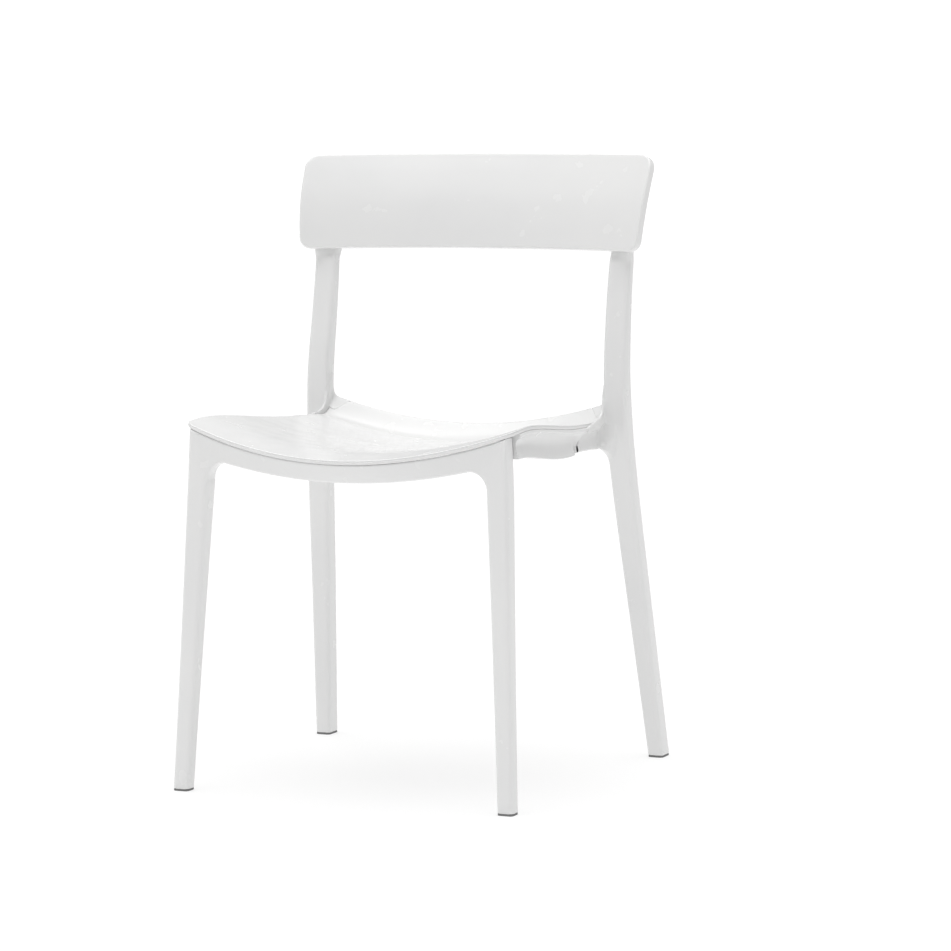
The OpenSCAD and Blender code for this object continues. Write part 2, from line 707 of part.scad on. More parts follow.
module right_rail() {
    color("white")
    difference() {
        union() {
            difference() {
                loft(rail_rings());
                loft(pocket_rings());
            }
            for (p = seat_screw_spots) rail_tab(p);
        }
        for (p = seat_screw_spots)
            translate([p[0], p[1], boss_z(p) - 20])
                cylinder(d = screw_d + hole_gap, h = 21, $fn = 32);
        translate([0, rail_end_wall + 2, 0]) translate(front_joint_screw) rotate([90, 0, 0])
            cylinder(d = screw_d + hole_gap, h = rail_end_wall + 4, $fn = 32);
        translate([0, 2, 0]) translate(rear_joint_screw) rotate([90, 0, 0])
            cylinder(d = screw_d + hole_gap, h = rail_end_wall + 12, $fn = 32);
        translate([0, -rail_end_wall, 0]) translate(rear_joint_screw) rotate([90, 0, 0])
            cylinder(d = screw_head + hole_gap, h = 12, $fn = 32);
    }
}

module right_side_rail() { right_rail(); }
module left_side_rail() { mirror([1, 0, 0]) right_rail(); }

// ---------- back panel ----------

panel_bow_low = 2.5;
function panel_half(z) =
    panel_width / 2
    - panel_taper / 2 * limit((panel_top_z - 12 - z) / (panel_height - 24), 0, 1) ^ 1.5;
function panel_low(x) = panel_low_z - panel_bow_low * (x / (panel_width / 2)) ^ 2;
function panel_high(x) = panel_top_z - panel_crown * (x / (panel_width / 2)) ^ 2;
function panel_edge(x, top) = top ? panel_high(x) : panel_low(x);
// Half of the outline from the middle of an edge to the end of its corner, as [x, z]
function panel_quarter(top) =
    let (
        s = top ? 1 : -1,
        edge_z = panel_edge(panel_width / 2, top),
        zc = edge_z - s * panel_corner,
        xc = panel_half(edge_z) - panel_corner,
        lift = panel_edge(xc, top) - edge_z
    )
    concat(
        [for (i = [0:8]) let (x = xc * i / 9) [x, panel_edge(x, top)]],
        [for (a = [90:-18:0])
            let (z = zc + s * panel_corner * sin(a))
            [xc + (panel_corner + panel_half(z) - panel_half(edge_z)) * cos(a), z + lift * sin(a)]]
    );
function panel_outline() =
    let (
        high = panel_quarter(true), low = panel_quarter(false), n = len(high),
        side = [for (i = [1:3])
            let (z = lerp(high[n - 1][1], low[n - 1][1], i / 4))
            [panel_half(z), z]],
        right = concat(high, side, reversed(low)), c = len(right)
    )
    concat(right, [for (i = [c - 2:-1:1]) [-right[i][0], right[i][1]]]);
panel_mid_z = (panel_low_z + panel_top_z) / 2;
// Outline drawn in by inset and shrunk to a share of its size, at a depth in the wall
function panel_ring(inset, share, depth) = [
    for (p = panel_outline())
        let (
            x = p[0] * share - sign(p[0]) * min(inset, abs(p[0])),
            z = panel_mid_z + (p[1] - panel_mid_z) * share - sign(p[1] - panel_mid_z) * inset
        )
        [x, panel_y(x, z), z] + depth * panel_normal(x, z)];

module back_panel() {
    r = panel_wall / 2 - 0.5;
    shares = [0.1, 0.4, 0.7, 0.9];
    rings = concat(
        [for (s = shares) panel_ring(r, s, 0)],
        [for (a = [0:30:90]) panel_ring(r * (1 - sin(a)), 1, r * (1 - cos(a)))],
        [for (a = [90:-30:0]) panel_ring(r * (1 - sin(a)), 1, panel_wall - r * (1 - cos(a)))],
        [for (s = reversed(shares)) panel_ring(r, s, panel_wall)]
    );
    color("white")
    difference() {
        loft_fan(rings);
        both_sides()
            for (z = back_screw_z) back_screw_place(z)
                translate([0, 0, -bite]) cylinder(d = pilot_d, h = back_screw_grip + bite, $fn = 32);
    }
}

// ---------- fasteners ----------

back_screw_z = [panel_low_z + 32, panel_low_z + 76];
back_recess_d = screw_head + 1;
// Frame whose z axis runs from the mating face of panel and upright square into the panel
module back_screw_place(z) {
    x = curve(z, rear_line_x);
    n = panel_normal(x, z);
    translate([x, panel_back_y(x, z), z])
        rotate([0, 0, atan2(-n[1], -n[0])]) rotate([0, acos(-n[2]), 0])
            children();
}

// Screw along +Z with the underside of its head at the origin
module screw(length) {
    cylinder(d = screw_d, h = length, $fn = 32);
    translate([0, 0, -screw_head_h]) cylinder(d = screw_head, h = screw_head_h, $fn = 48);
}

module back_screws() {
    color("silver")
    both_sides()
        for (z = back_screw_z) back_screw_place(z)
            translate([0, 0, -back_screw_seat]) screw(back_screw_seat + back_screw_grip - 0.5);
}

module back_screw_caps() {
    color("white")
    both_sides()
        for (z = back_screw_z) back_screw_place(z)
            translate([0, 0, -back_screw_seat - screw_head_h - fit_gap - cap_height])
                cylinder(d = back_recess_d - 0.4, h = cap_height, $fn = 48);
}

module seat_screws() {
    color("silver")
    both_sides()
        for (p = seat_screw_spots)
            translate([p[0], p[1], boss_z(p) - fit_gap - tab_wall]) screw(tab_wall + boss_height);
}

module rail_screws() {
    color("silver")
    both_sides() {
        translate([0, rail_end_wall, 0]) translate(front_joint_screw) rotate([90, 0, 0])
            screw(rail_screw_len);
        translate([0, -rail_end_wall, 0]) translate(rear_joint_screw) rotate([-90, 0, 0])
            screw(rail_screw_len);
    }
}

// ---------- glides ----------

// Pad under a foot, w wide and d deep, with its stem in the foot's bore
module glide(x, y, w, d) {
    color("gainsboro")
    translate([x, y, 0]) {
        soft_pad(w - 2 * glide_inset, d - 2 * glide_inset, leg_soft - glide_inset);
        cylinder(d = glide_stem, h = foot_z + glide_stem_len, $fn = 48);
    }
}
module soft_pad(w, d, r) {
    linear_extrude(foot_z - 0.05) union() {
        square([w - 2 * r, d], center = true);
        square([w, d - 2 * r], center = true);
        for (sx = [-1, 1], sy = [-1, 1])
            translate([sx * (w / 2 - r), sy * (d / 2 - r)]) circle(r, $fn = 32);
    }
}
module front_glide() {
    glide(front_x(foot_z), front_leg_y(foot_z), front_foot_w, front_foot_w);
}
module rear_glide() {
    glide(curve(foot_z, rear_line_x), curve(foot_z, rear_line_y), rear_foot_w, rear_foot_d);
}
module front_right_glide() { front_glide(); }
module front_left_glide() { mirror([1, 0, 0]) front_glide(); }
module rear_right_glide() { rear_glide(); }
module rear_left_glide() { mirror([1, 0, 0]) rear_glide(); }

seat_panel();
front_frame();
rear_frame();
left_side_rail();
right_side_rail();
back_panel();
front_left_glide();
front_right_glide();
rear_left_glide();
rear_right_glide();
seat_screws();
rail_screws();
back_screws();
back_screw_caps();
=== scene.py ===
"""Looks of a white stacking chair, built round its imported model.

Shapes are worked out in millimetres and made into meshes in metres. The chair faces -Y and its
right-hand side is +X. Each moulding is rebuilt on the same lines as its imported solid, with its
soft edges, fillets and beads.
"""

import logging
import math
from dataclasses import dataclass
from enum import Enum
from typing import Any, Callable, Sequence

import bmesh
import bpy
import numpy as np
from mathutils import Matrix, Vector


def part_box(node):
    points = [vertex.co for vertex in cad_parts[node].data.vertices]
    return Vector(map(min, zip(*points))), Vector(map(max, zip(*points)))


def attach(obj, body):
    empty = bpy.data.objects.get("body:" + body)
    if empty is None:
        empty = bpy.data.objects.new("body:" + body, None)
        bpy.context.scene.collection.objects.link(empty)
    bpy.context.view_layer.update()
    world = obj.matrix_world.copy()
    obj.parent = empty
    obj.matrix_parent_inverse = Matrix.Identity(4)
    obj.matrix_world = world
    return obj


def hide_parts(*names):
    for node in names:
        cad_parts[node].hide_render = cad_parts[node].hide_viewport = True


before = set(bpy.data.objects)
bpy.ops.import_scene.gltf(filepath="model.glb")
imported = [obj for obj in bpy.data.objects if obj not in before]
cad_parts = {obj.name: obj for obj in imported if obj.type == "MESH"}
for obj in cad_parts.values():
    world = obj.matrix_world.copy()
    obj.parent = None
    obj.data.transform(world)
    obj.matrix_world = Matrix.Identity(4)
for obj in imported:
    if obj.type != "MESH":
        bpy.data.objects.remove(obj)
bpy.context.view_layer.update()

LOG = logging.getLogger("chair")
MM = 0.001
Array = np.ndarray
Stations = Sequence[tuple[float, float]]
SAME_POINT = 1e-6
CRISP_PART = 30.0
NOISE_SPAN = (0.3, 0.7)
WHITE_LIGHT = (1.0, 1.0, 1.0, 1.0)


class Slot(Enum):
    """Names of the record's material slots."""

    WHITE = "white_plastic"
    GLIDE = "glide_plastic"
    STEEL = "screw_steel"


# ---------- scene helpers ----------


def placed(name: str, data: Any) -> bpy.types.Object:
    """Makes an object at the origin from a mesh, a light or a camera, and links it."""
    obj = bpy.data.objects.new(name, data)
    bpy.context.scene.collection.objects.link(obj)
    return obj


def mend_mesh(mesh: bpy.types.Mesh, sharp: float) -> None:
    """Joins points that coincide, turns faces outwards and shades the mesh.

    Args:
        mesh: The mesh, changed in place.
        sharp: Angle in degrees past which an edge is shaded as a crisp one.
    """
    work = bmesh.new()
    work.from_mesh(mesh)
    bmesh.ops.remove_doubles(work, verts=work.verts, dist=SAME_POINT)
    bmesh.ops.recalc_face_normals(work, faces=work.faces)
    work.to_mesh(mesh)
    work.free()
    mesh.shade_smooth()
    mesh.set_sharp_from_angle(angle=math.radians(sharp))


def fill(node: bpy.types.Node, inputs: dict[Any, Any]) -> bpy.types.Node:
    """Links each input of a node to an output socket, or gives it a value."""
    for key, value in inputs.items():
        if isinstance(value, bpy.types.NodeSocket):
            node.id_data.links.new(value, node.inputs[key])
        else:
            node.inputs[key].default_value = value
    return node


# ---------- curves and small solids ----------


def lerp(a: Any, b: Any, t: Any) -> Any:
    """Straight blend from a to b as t goes from 0 to 1."""
    return a + (b - a) * t


def ease(t: Any) -> Any:
    """Smooth step from 0 to 1, held outside that span."""
    t = np.clip(t, 0.0, 1.0)
    return t * t * (3 - 2 * t)


def curve(t: Any, stations: Stations) -> Any:
    """Smooth curve through stations.

    Args:
        t: Place or places along the curve.
        stations: Pairs of place and value, in rising order of place.

    Returns:
        The value at each place.
    """
    p = np.asarray(stations, float)
    xs, vs = p[:, 0], p[:, 1]
    w = np.diff(xs)
    chord = np.diff(vs) / w
    slope = np.concatenate([chord[:1], chord[:1], chord[-1:]])
    if len(xs) > 2:
        inner = (chord[1:] * w[1:] + chord[:-1] * w[:-1]) / (xs[2:] - xs[:-2])
        slope = np.concatenate([chord[:1], inner, chord[-1:]])
    i = np.clip(np.searchsorted(xs[1:], t, side="left"), 0, len(w) - 1)
    u = (t - xs[i]) / w[i]
    return (
        (2 * u**3 - 3 * u**2 + 1) * vs[i]
        + (u**3 - 2 * u**2 + u) * w[i] * slope[i]
        + (3 * u**2 - 2 * u**3) * vs[i + 1]
        + (u**3 - u**2) * w[i] * slope[i + 1]
    )


def soft_union(a: Array, b: Array, k: Any) -> Array:
    """Joins two distance fields with a fillet that reaches k from the corner."""
    h = np.maximum(k - np.abs(a - b), 0.0) / k
    return np.minimum(a, b) - h * h * k / 4


def soft_cut(a: Array, b: Array, k: Any) -> Array:
    """Keeps what lies in both distance fields, with the edge rounded over k."""
    return -soft_union(-a, -b, k)


def soft_rect(w: float, d: float, r: float, n: int) -> Array:
    """Round-cornered rectangle.

    Args:
        w: Width across.
        d: Depth.
        r: Radius of the corners.
        n: Points to a corner.

    Returns:
        Points of shape (4 n, 2), turning from across to deep.
    """
    a = np.radians(90 * np.repeat(np.arange(4), n) + 90 * np.tile(np.arange(n), 4) / (n - 1))
    sx = np.repeat([1, -1, -1, 1], n)
    sy = np.repeat([1, 1, -1, -1], n)
    return np.stack([sx * (w / 2 - r) + r * np.cos(a), sy * (d / 2 - r) + r * np.sin(a)], 1)


def drawn_in(outline: Array, middle: Array, inset: Any) -> Array:
    """Draws a closed outline in, square to itself.

    Args:
        outline: Points of shape (n, 2).
        middle: A point inside it.
        inset: How far each point moves.

    Returns:
        The moved points.
    """
    ahead = np.roll(outline, -1, 0) - np.roll(outline, 1, 0)
    out = np.stack([ahead[:, 1], -ahead[:, 0]], 1)
    out /= np.linalg.norm(out, axis=1, keepdims=True)
    return outline - out * np.sign(((outline - middle) * out).sum(1).mean()) * inset


@dataclass
class Shell:
    """Points in millimetres and the faces between them, gathered before they become a mesh."""

    points: list[Array]
    faces: list[tuple[int, ...]]
    count: int = 0

    @classmethod
    def empty(cls) -> "Shell":
        """A shell with nothing in it yet."""
        return cls([], [])

    def add(self, points: Array, faces: Sequence[Sequence[int]]) -> None:
        """Adds points and faces that are numbered from the first of those points."""
        self.faces.extend(tuple(int(i) + self.count for i in f) for f in faces)
        self.points.append(np.asarray(points, float))
        self.count += len(points)

    def skin(self, rings: Array, poles: bool = False) -> None:
        """Adds a closed solid through rings of equally many points.

        Args:
            rings: Points of shape (rings, points to a ring, 3).
            poles: Whether each end closes to a middle point, and not by one flat face.
        """
        m, n, _ = rings.shape
        k, i = np.meshgrid(np.arange(m - 1), np.arange(n), indexing="ij")
        a, j = k * n, (i + 1) % n
        quads = np.stack([a + i, a + j, a + n + j, a + n + i], -1).reshape(-1, 4).tolist()
        points = rings.reshape(-1, 3)
        last = (m - 1) * n
        if poles:
            ends = np.stack([rings[0].mean(0), rings[-1].mean(0)])
            points = np.concatenate([points, ends])
            quads += [[m * n, (p + 1) % n, p] for p in range(n)]
            quads += [[m * n + 1, last + p, last + (p + 1) % n] for p in range(n)]
        else:
            quads += [list(range(n - 1, -1, -1)), list(range(last, last + n))]
        self.add(points, quads)

    def pillar(self, place: Sequence[float], radii: Stations, n: int = 32) -> None:
        """Adds a turned solid that stands on a point.

        Args:
            place: Point at its foot.
            radii: Pairs of height over the point and radius there.
            n: Points to a ring.
        """
        a = np.linspace(0, 2 * np.pi, n, endpoint=False)
        rings = [
            np.stack([r * np.cos(a), r * np.sin(a), np.full(n, h)], 1) + np.asarray(place)
            for h, r in radii
        ]
        self.skin(np.asarray(rings))

    def slab(self, low: Sequence[float], high: Sequence[float], r: float) -> None:
        """Adds a round-edged block between two corners, with edges of radius r."""
        w, d = high[0] - low[0], high[1] - low[1]
        mid = [(low[0] + high[0]) / 2, (low[1] + high[1]) / 2]
        rings = []
        for z, inset in ((low[2], r), (low[2] + r, 0), (high[2] - r, 0), (high[2], r)):
            q = soft_rect(w - 2 * inset, d - 2 * inset, max(2 * r - inset, 0.3), 4)
            rings.append(np.column_stack([q + mid, np.full(len(q), z)]))
        self.skin(np.asarray(rings))

    def make(self, name: str, sharp: float = 38.0) -> bpy.types.Object:
        """Turns the shell into an object at the origin, with its faces pointing outwards.

        Args:
            name: Name of the object.
            sharp: Angle in degrees past which an edge is shaded as a crisp one.

        Returns:
            The object, linked to the scene.
        """
        mesh = bpy.data.meshes.new(name)
        mesh.from_pydata((np.concatenate(self.points) * MM).tolist(), [], self.faces)
        mend_mesh(mesh, sharp)
        mesh.validate()
        return placed(name, mesh)


def surface_net(field: Callable[..., Array], axes: Sequence[Array]) -> Shell:
    """Meshes the zero surface of a field by surface nets on a grid of uneven steps.

    Args:
        field: Function of x, y and z that is negative inside the solid.
        axes: Grid places along x, y and z, in rising order.

    Returns:
        A shell of quads whose points lie on the surface.
    """
    grid = np.meshgrid(*axes, indexing="ij")
    value = field(*grid)
    solid = value < 0
    cells = tuple(s - 1 for s in value.shape)
    total = np.zeros(cells + (3,))
    hits = np.zeros(cells)
    crossings = []
    for axis in range(3):
        low = [slice(None)] * 3
        high = [slice(None)] * 3
        low[axis], high[axis] = slice(None, -1), slice(1, None)
        f0, f1 = value[tuple(low)], value[tuple(high)]
        crossed = solid[tuple(low)] != solid[tuple(high)]
        share = np.where(crossed, f0 / np.where(crossed, f0 - f1, 1.0), 0.0)
        crossings.append((crossed, solid[tuple(low)]))
        others = [a for a in range(3) if a != axis]
        for corner in range(4):
            part = [slice(None)] * 3
            for bit, other in enumerate(others):
                part[other] = slice(1, None) if corner >> bit & 1 else slice(None, -1)
            cut = tuple(part)
            c = crossed[cut]
            for a in range(3):
                place = grid[a][tuple(low)]
                if a == axis:
                    place = place + share * (grid[a][tuple(high)] - place)
                total[..., a] += np.where(c, place[cut], 0.0)
            hits += c
    used = hits > 0
    number = np.full(cells, -1)
    number[used] = np.arange(used.sum())
    points = total[used] / hits[used][:, None]
    points = settle_on(field, points)
    quads = []
    for axis, (crossed, inside) in enumerate(crossings):
        b, c = (axis + 1) % 3, (axis + 2) % 3
        spot = np.argwhere(crossed)
        keep = np.ones(len(spot), bool)
        for a in (b, c):
            keep &= (spot[:, a] > 0) & (spot[:, a] < value.shape[a] - 1)
        spot = spot[keep]
        flip = ~inside[tuple(spot.T)]
        ring = []
        for db, dc in ((-1, -1), (0, -1), (0, 0), (-1, 0)):
            cell = spot.copy()
            cell[:, b] += db
            cell[:, c] += dc
            ring.append(number[tuple(cell.T)])
        quad = np.stack(ring, 1)
        quad[flip] = quad[flip][:, ::-1]
        quads.append(quad)
    shell = Shell.empty()
    shell.add(points, np.concatenate(quads).tolist())
    return shell


def settle_on(field: Callable[..., Array], points: Array, rounds: int = 4) -> Array:
    """Moves points onto the zero surface of a field.

    Args:
        field: Function of x, y and z.
        points: Points of shape (n, 3), near the surface.
        rounds: How many steps each point takes.

    Returns:
        The moved points.
    """
    step, most = 0.05, 1.2
    for _ in range(rounds):
        here = field(*points.T)
        slope = np.stack(
            [
                (field(*(points + step * e).T) - field(*(points - step * e).T)) / (2 * step)
                for e in np.eye(3)
            ],
            1,
        )
        size = np.maximum((slope**2).sum(1), 0.05)
        move = -(here / size)[:, None] * slope
        length = np.maximum(np.linalg.norm(move, axis=1), 1e-9)
        points = points + move * np.minimum(1.0, most / length)[:, None]
    return points


# ---------- the lines that the mouldings share ----------


@dataclass
class ChairForm:
    """Lines and surfaces that the chair's mouldings share, in millimetres."""

    front_y: float
    rear_y: float
    half_w: float
    back_y: float
    top_z: float
    seat_z: float = 430.0
    seat_dish: float = 40.0
    seat_bow: float = 29.0
    seat_taper: float = 24.0
    seat_crown: float = 4.5
    seat_hollow: float = 3.5
    lip_rise: float = 19.0
    lip_run: float = 35.0
    seat_rim: float = 5.6
    seat_wall: float = 5.0
    boss_d: float = 9.7
    boss_height: float = 9.0
    fit_gap: float = 0.3
    front_foot_w: float = 21.5
    front_knee_w: float = 28.0
    front_splay: float = 18.0
    front_rake: float = 20.0
    rear_foot_w: float = 21.5
    rear_foot_d: float = 30.0
    upright_w: float = 31.0
    rear_knee_d: float = 26.0
    upright_top_d: float = 17.0
    rear_splay: float = 31.0
    cross_depth: float = 22.0
    arm_length: float = 90.0
    rail_width: float = 26.0
    rail_height: float = 31.0
    rail_scoop: float = 8.0
    rail_wall: float = 4.0
    rail_end_wall: float = 6.0
    tab_wall: float = 4.0
    panel_height: float = 127.0
    panel_width: float = 502.0
    panel_wall: float = 11.0
    panel_wrap: float = 40.0
    back_gap: float = 0.5
    foot_z: float = 2.5
    root_front_x: float = 190.3
    root_rear_x: float = 175.5
    root_y: float = 148.0

    @classmethod
    def from_frame(cls) -> "ChairForm":
        """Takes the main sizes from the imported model's boxes."""
        low, high = (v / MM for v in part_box("seat_panel"))
        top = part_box("back_panel")[1].z / MM
        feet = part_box("rear_frame")[1].y / MM
        return cls(low.y, high.y, high.x, feet, top)

    def __post_init__(self) -> None:
        """Works out the places that follow from the sizes."""
        self.knee_z = self.seat_z - 40
        self.cross_rear_y = self.rear_y + 1
        self.cross_front_y = self.cross_rear_y - self.cross_depth
        self.arm_tip_y = self.cross_front_y - self.arm_length
        self.front_top_x = self.half_w - self.front_knee_w / 2 - 4.6
        self.front_top_y = self.front_y + 37
        self.rail_front_y = self.front_top_y + self.front_knee_w / 2 + 1
        self.waist_z = self.seat_z + 75
        self.waist_x = self.half_w - self.seat_taper + self.upright_w / 2 + 0.7
        self.waist_y = self.rear_y - 11.5
        self.panel_low = self.top_z - self.panel_height
        self.upright_end = self.top_z - 28
        foot_y = self.back_y - self.rear_foot_d / 2
        knee_y = lerp(foot_y, self.waist_y, 0.86)
        self.line_y = (
            (0, foot_y),
            (self.knee_z / 2, (foot_y + knee_y) / 2),
            (self.knee_z, knee_y),
            (self.waist_z, self.waist_y),
            (lerp(self.waist_z, self.panel_low, 0.52), self.waist_y + 10),
            (self.panel_low, self.waist_y + 23),
        )
        self.line_x = (
            (0, self.waist_x + self.rear_splay),
            (self.knee_z, self.waist_x + self.rear_splay * 0.16),
            (self.waist_z, self.waist_x),
            (lerp(self.waist_z, self.panel_low, 0.6), self.waist_x - 2.5),
            (self.panel_low, self.waist_x - 1.8),
            (self.upright_end, self.waist_x + 0.5),
        )
        self.widths = (
            (0, self.rear_foot_w),
            (self.knee_z, self.upright_w - 0.5),
            (self.waist_z, self.upright_w),
            (self.upright_end, self.upright_w - 1),
        )
        self.depths = (
            (0, self.rear_foot_d),
            (self.knee_z, self.rear_knee_d),
            (self.waist_z, self.rear_knee_d),
            (self.panel_low, self.upright_top_d),
        )
        self.profile = (
            (self.front_y, 0),
            (self.front_y + 80, self.seat_crown),
            (self.front_y + 255, -self.seat_hollow),
            (self.rear_y - self.lip_run - 25, -self.seat_hollow - 0.5),
            (self.rear_y - self.lip_run, -self.seat_hollow + 0.5),
            (self.rear_y, self.lip_rise),
        )
        low = self.panel_low
        self.panel_profile = (
            (low, 0), (low + 34, 7), (low + 66, 16.5), (low + 100, 32), (self.top_z, 46),
        )

    def rim_y(self, x: Any) -> Any:
        """Front edge of the seat."""
        return self.front_y + self.seat_bow * (x / self.half_w) ** 2

    def side_x(self, y: Any) -> Any:
        """Side edge of the seat."""
        start = self.front_y + 65
        return self.half_w - self.seat_taper * np.maximum(0, (y - start) / (self.rear_y - start))

    def edge_x(self, y: Any) -> Any:
        """Side edge of the seat, drawn in where the arm's cheek stands beside it."""
        return self.side_x(y) - 2.4 * ease((y - 60) / 50)

    def seam_x(self, y: Any) -> Any:
        """Inner edge of an upright's root, where the seat's rear corner is cut away."""
        t = (y - self.root_y) / (self.rear_y - self.root_y)
        return lerp(self.root_front_x, self.root_rear_x, np.clip(t, 0, 1))

    def seat_bed(self, x: Any) -> Any:
        """Height of the dished seat, before its rise from front to rear."""
        return self.seat_z + self.seat_dish * (x / self.half_w) ** 2

    def seat_rise(self, x: Any, y: Any) -> Any:
        """Rise of the seat over its bed."""
        rim = self.rim_y(x)
        share = np.clip((y - rim) / (self.rear_y - rim), 0, 1)
        return curve(self.front_y + share * (self.rear_y - self.front_y), self.profile)

    def seat_top(self, x: Any, y: Any) -> Any:
        """Top surface of the seat."""
        return self.seat_bed(x) + self.seat_rise(x, y)

    def under_rim(self, x: Any, y: Any) -> Any:
        """Top of what lies under the seat's rim."""
        return self.seat_top(x, y) - self.seat_rim - self.fit_gap

    def boss_foot(self, x: Any, y: Any) -> Any:
        """Lower face of a screw boss under the seat."""
        return self.seat_top(x, y) - self.seat_wall - self.boss_height

    def pocket_x(self, y: Any) -> Any:
        """Outer side of the pocket inside a side rail."""
        return self.side_x(y) - 2 - self.rail_scoop - self.rail_wall

    def panel_y(self, x: Any, z: Any) -> Any:
        """Front surface of the back panel."""
        bend = self.panel_wrap * (np.abs(x) / (self.panel_width / 2 - 4)) ** 2.5
        return self.waist_y + 31 + curve(z, self.panel_profile) - bend

    def panel_normal(self, x: Any, z: Any) -> Array:
        """Direction through the back panel's wall, from front to back."""
        nx = (self.panel_y(x - 2, z) - self.panel_y(x + 2, z)) / 4
        nz = (self.panel_y(x, z - 2) - self.panel_y(x, z + 2)) / 4
        n = np.stack([nx, np.ones_like(nx), nz], -1)
        return n / np.linalg.norm(n, axis=-1, keepdims=True)

    def panel_back_y(self, x: Any, z: Any) -> Any:
        """Rear surface of the back panel."""
        return self.panel_y(x, z) + self.panel_wall / self.panel_normal(x, z)[..., 1]


# ---------- finishes ----------


@dataclass(frozen=True)
class Grain:
    """Fine relief of a moulded surface, with sizes in metres."""

    cell: float
    depth: float
    strength: float


@dataclass(frozen=True)
class Finish:
    """A surface: its colour, how it varies, its gloss and its grain."""

    name: str
    colour: tuple[float, float, float]
    shade: tuple[float, float, float]
    roughness: tuple[float, float]
    grain: Grain
    swell: Grain
    metallic: float = 0.0
    ior: float = 1.49
    drift: float = 0.12
    gloss_cell: float = 0.03

    def make(self) -> bpy.types.Material:
        """Builds the finish as a node material on object coordinates."""
        found = bpy.data.materials.get(self.name)
        if found:
            return found
        material = bpy.data.materials.new(self.name)
        material.use_nodes = True
        tree = material.node_tree
        place = tree.nodes.new("ShaderNodeTexCoord").outputs["Object"]

        def noise(cell: float, detail: float) -> bpy.types.NodeSocket:
            """A noise of that cell size, in metres."""
            node = tree.nodes.new("ShaderNodeTexNoise")
            fill(node, {"Vector": place, "Scale": 1.0 / cell, "Detail": detail})
            return node.outputs["Fac"]

        tint = fill(tree.nodes.new("ShaderNodeValToRGB"), {"Fac": noise(self.drift, 3.0)})
        stops = zip(tint.color_ramp.elements, NOISE_SPAN, (self.shade, self.colour))
        for stop, position, colour in stops:
            stop.position = position
            stop.color = (*colour, 1.0)
        gloss = fill(
            tree.nodes.new("ShaderNodeMapRange"),
            {
                "Value": noise(self.gloss_cell, 4.0),
                "From Min": NOISE_SPAN[0],
                "From Max": NOISE_SPAN[1],
                "To Min": self.roughness[0],
                "To Max": self.roughness[1],
            },
        )
        shader = {
            "Metallic": self.metallic,
            "IOR": self.ior,
            "Base Color": tint.outputs["Color"],
            "Roughness": gloss.outputs["Result"],
        }
        for relief, detail in ((self.swell, 2.0), (self.grain, 4.0)):
            bump = {"Strength": relief.strength, "Distance": relief.depth}
            bump["Height"] = noise(relief.cell, detail)
            if "Normal" in shader:
                bump["Normal"] = shader["Normal"]
            shader["Normal"] = fill(tree.nodes.new("ShaderNodeBump"), bump).outputs["Normal"]
        fill(tree.nodes["Principled BSDF"], shader)
        return material


SATIN_WHITE = Finish(
    "satin_white_polypropylene",
    colour=(0.83, 0.83, 0.825),
    shade=(0.805, 0.806, 0.805),
    roughness=(0.20, 0.28),
    grain=Grain(cell=0.0007, depth=0.00004, strength=0.25),
    swell=Grain(cell=0.05, depth=0.0006, strength=0.10),
)
GREY_NYLON = Finish(
    "matt_grey_nylon",
    colour=(0.20, 0.20, 0.20),
    shade=(0.15, 0.15, 0.15),
    roughness=(0.55, 0.70),
    grain=Grain(cell=0.0006, depth=0.0001, strength=0.5),
    swell=Grain(cell=0.02, depth=0.0002, strength=0.1),
)
ZINC_STEEL = Finish(
    "zinc_plated_steel",
    colour=(0.62, 0.62, 0.64),
    shade=(0.52, 0.52, 0.55),
    roughness=(0.28, 0.42),
    grain=Grain(cell=0.0004, depth=0.00003, strength=0.4),
    swell=Grain(cell=0.004, depth=0.00005, strength=0.2),
    metallic=1.0,
    ior=2.5,
    drift=0.004,
)


def settle(obj: bpy.types.Object, finish: Finish, slot: Slot, *nodes: str) -> None:
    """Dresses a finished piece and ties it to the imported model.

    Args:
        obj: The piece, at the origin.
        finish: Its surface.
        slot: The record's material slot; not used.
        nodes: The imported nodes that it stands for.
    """
    obj.data.materials.clear()
    obj.data.materials.append(finish.make())
    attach(obj, "root")
    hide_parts(*nodes)
    obj.data.calc_loop_triangles()
    LOG.info("%s: %d triangles", obj.name, len(obj.data.loop_triangles))


# ---------- mouldings ----------


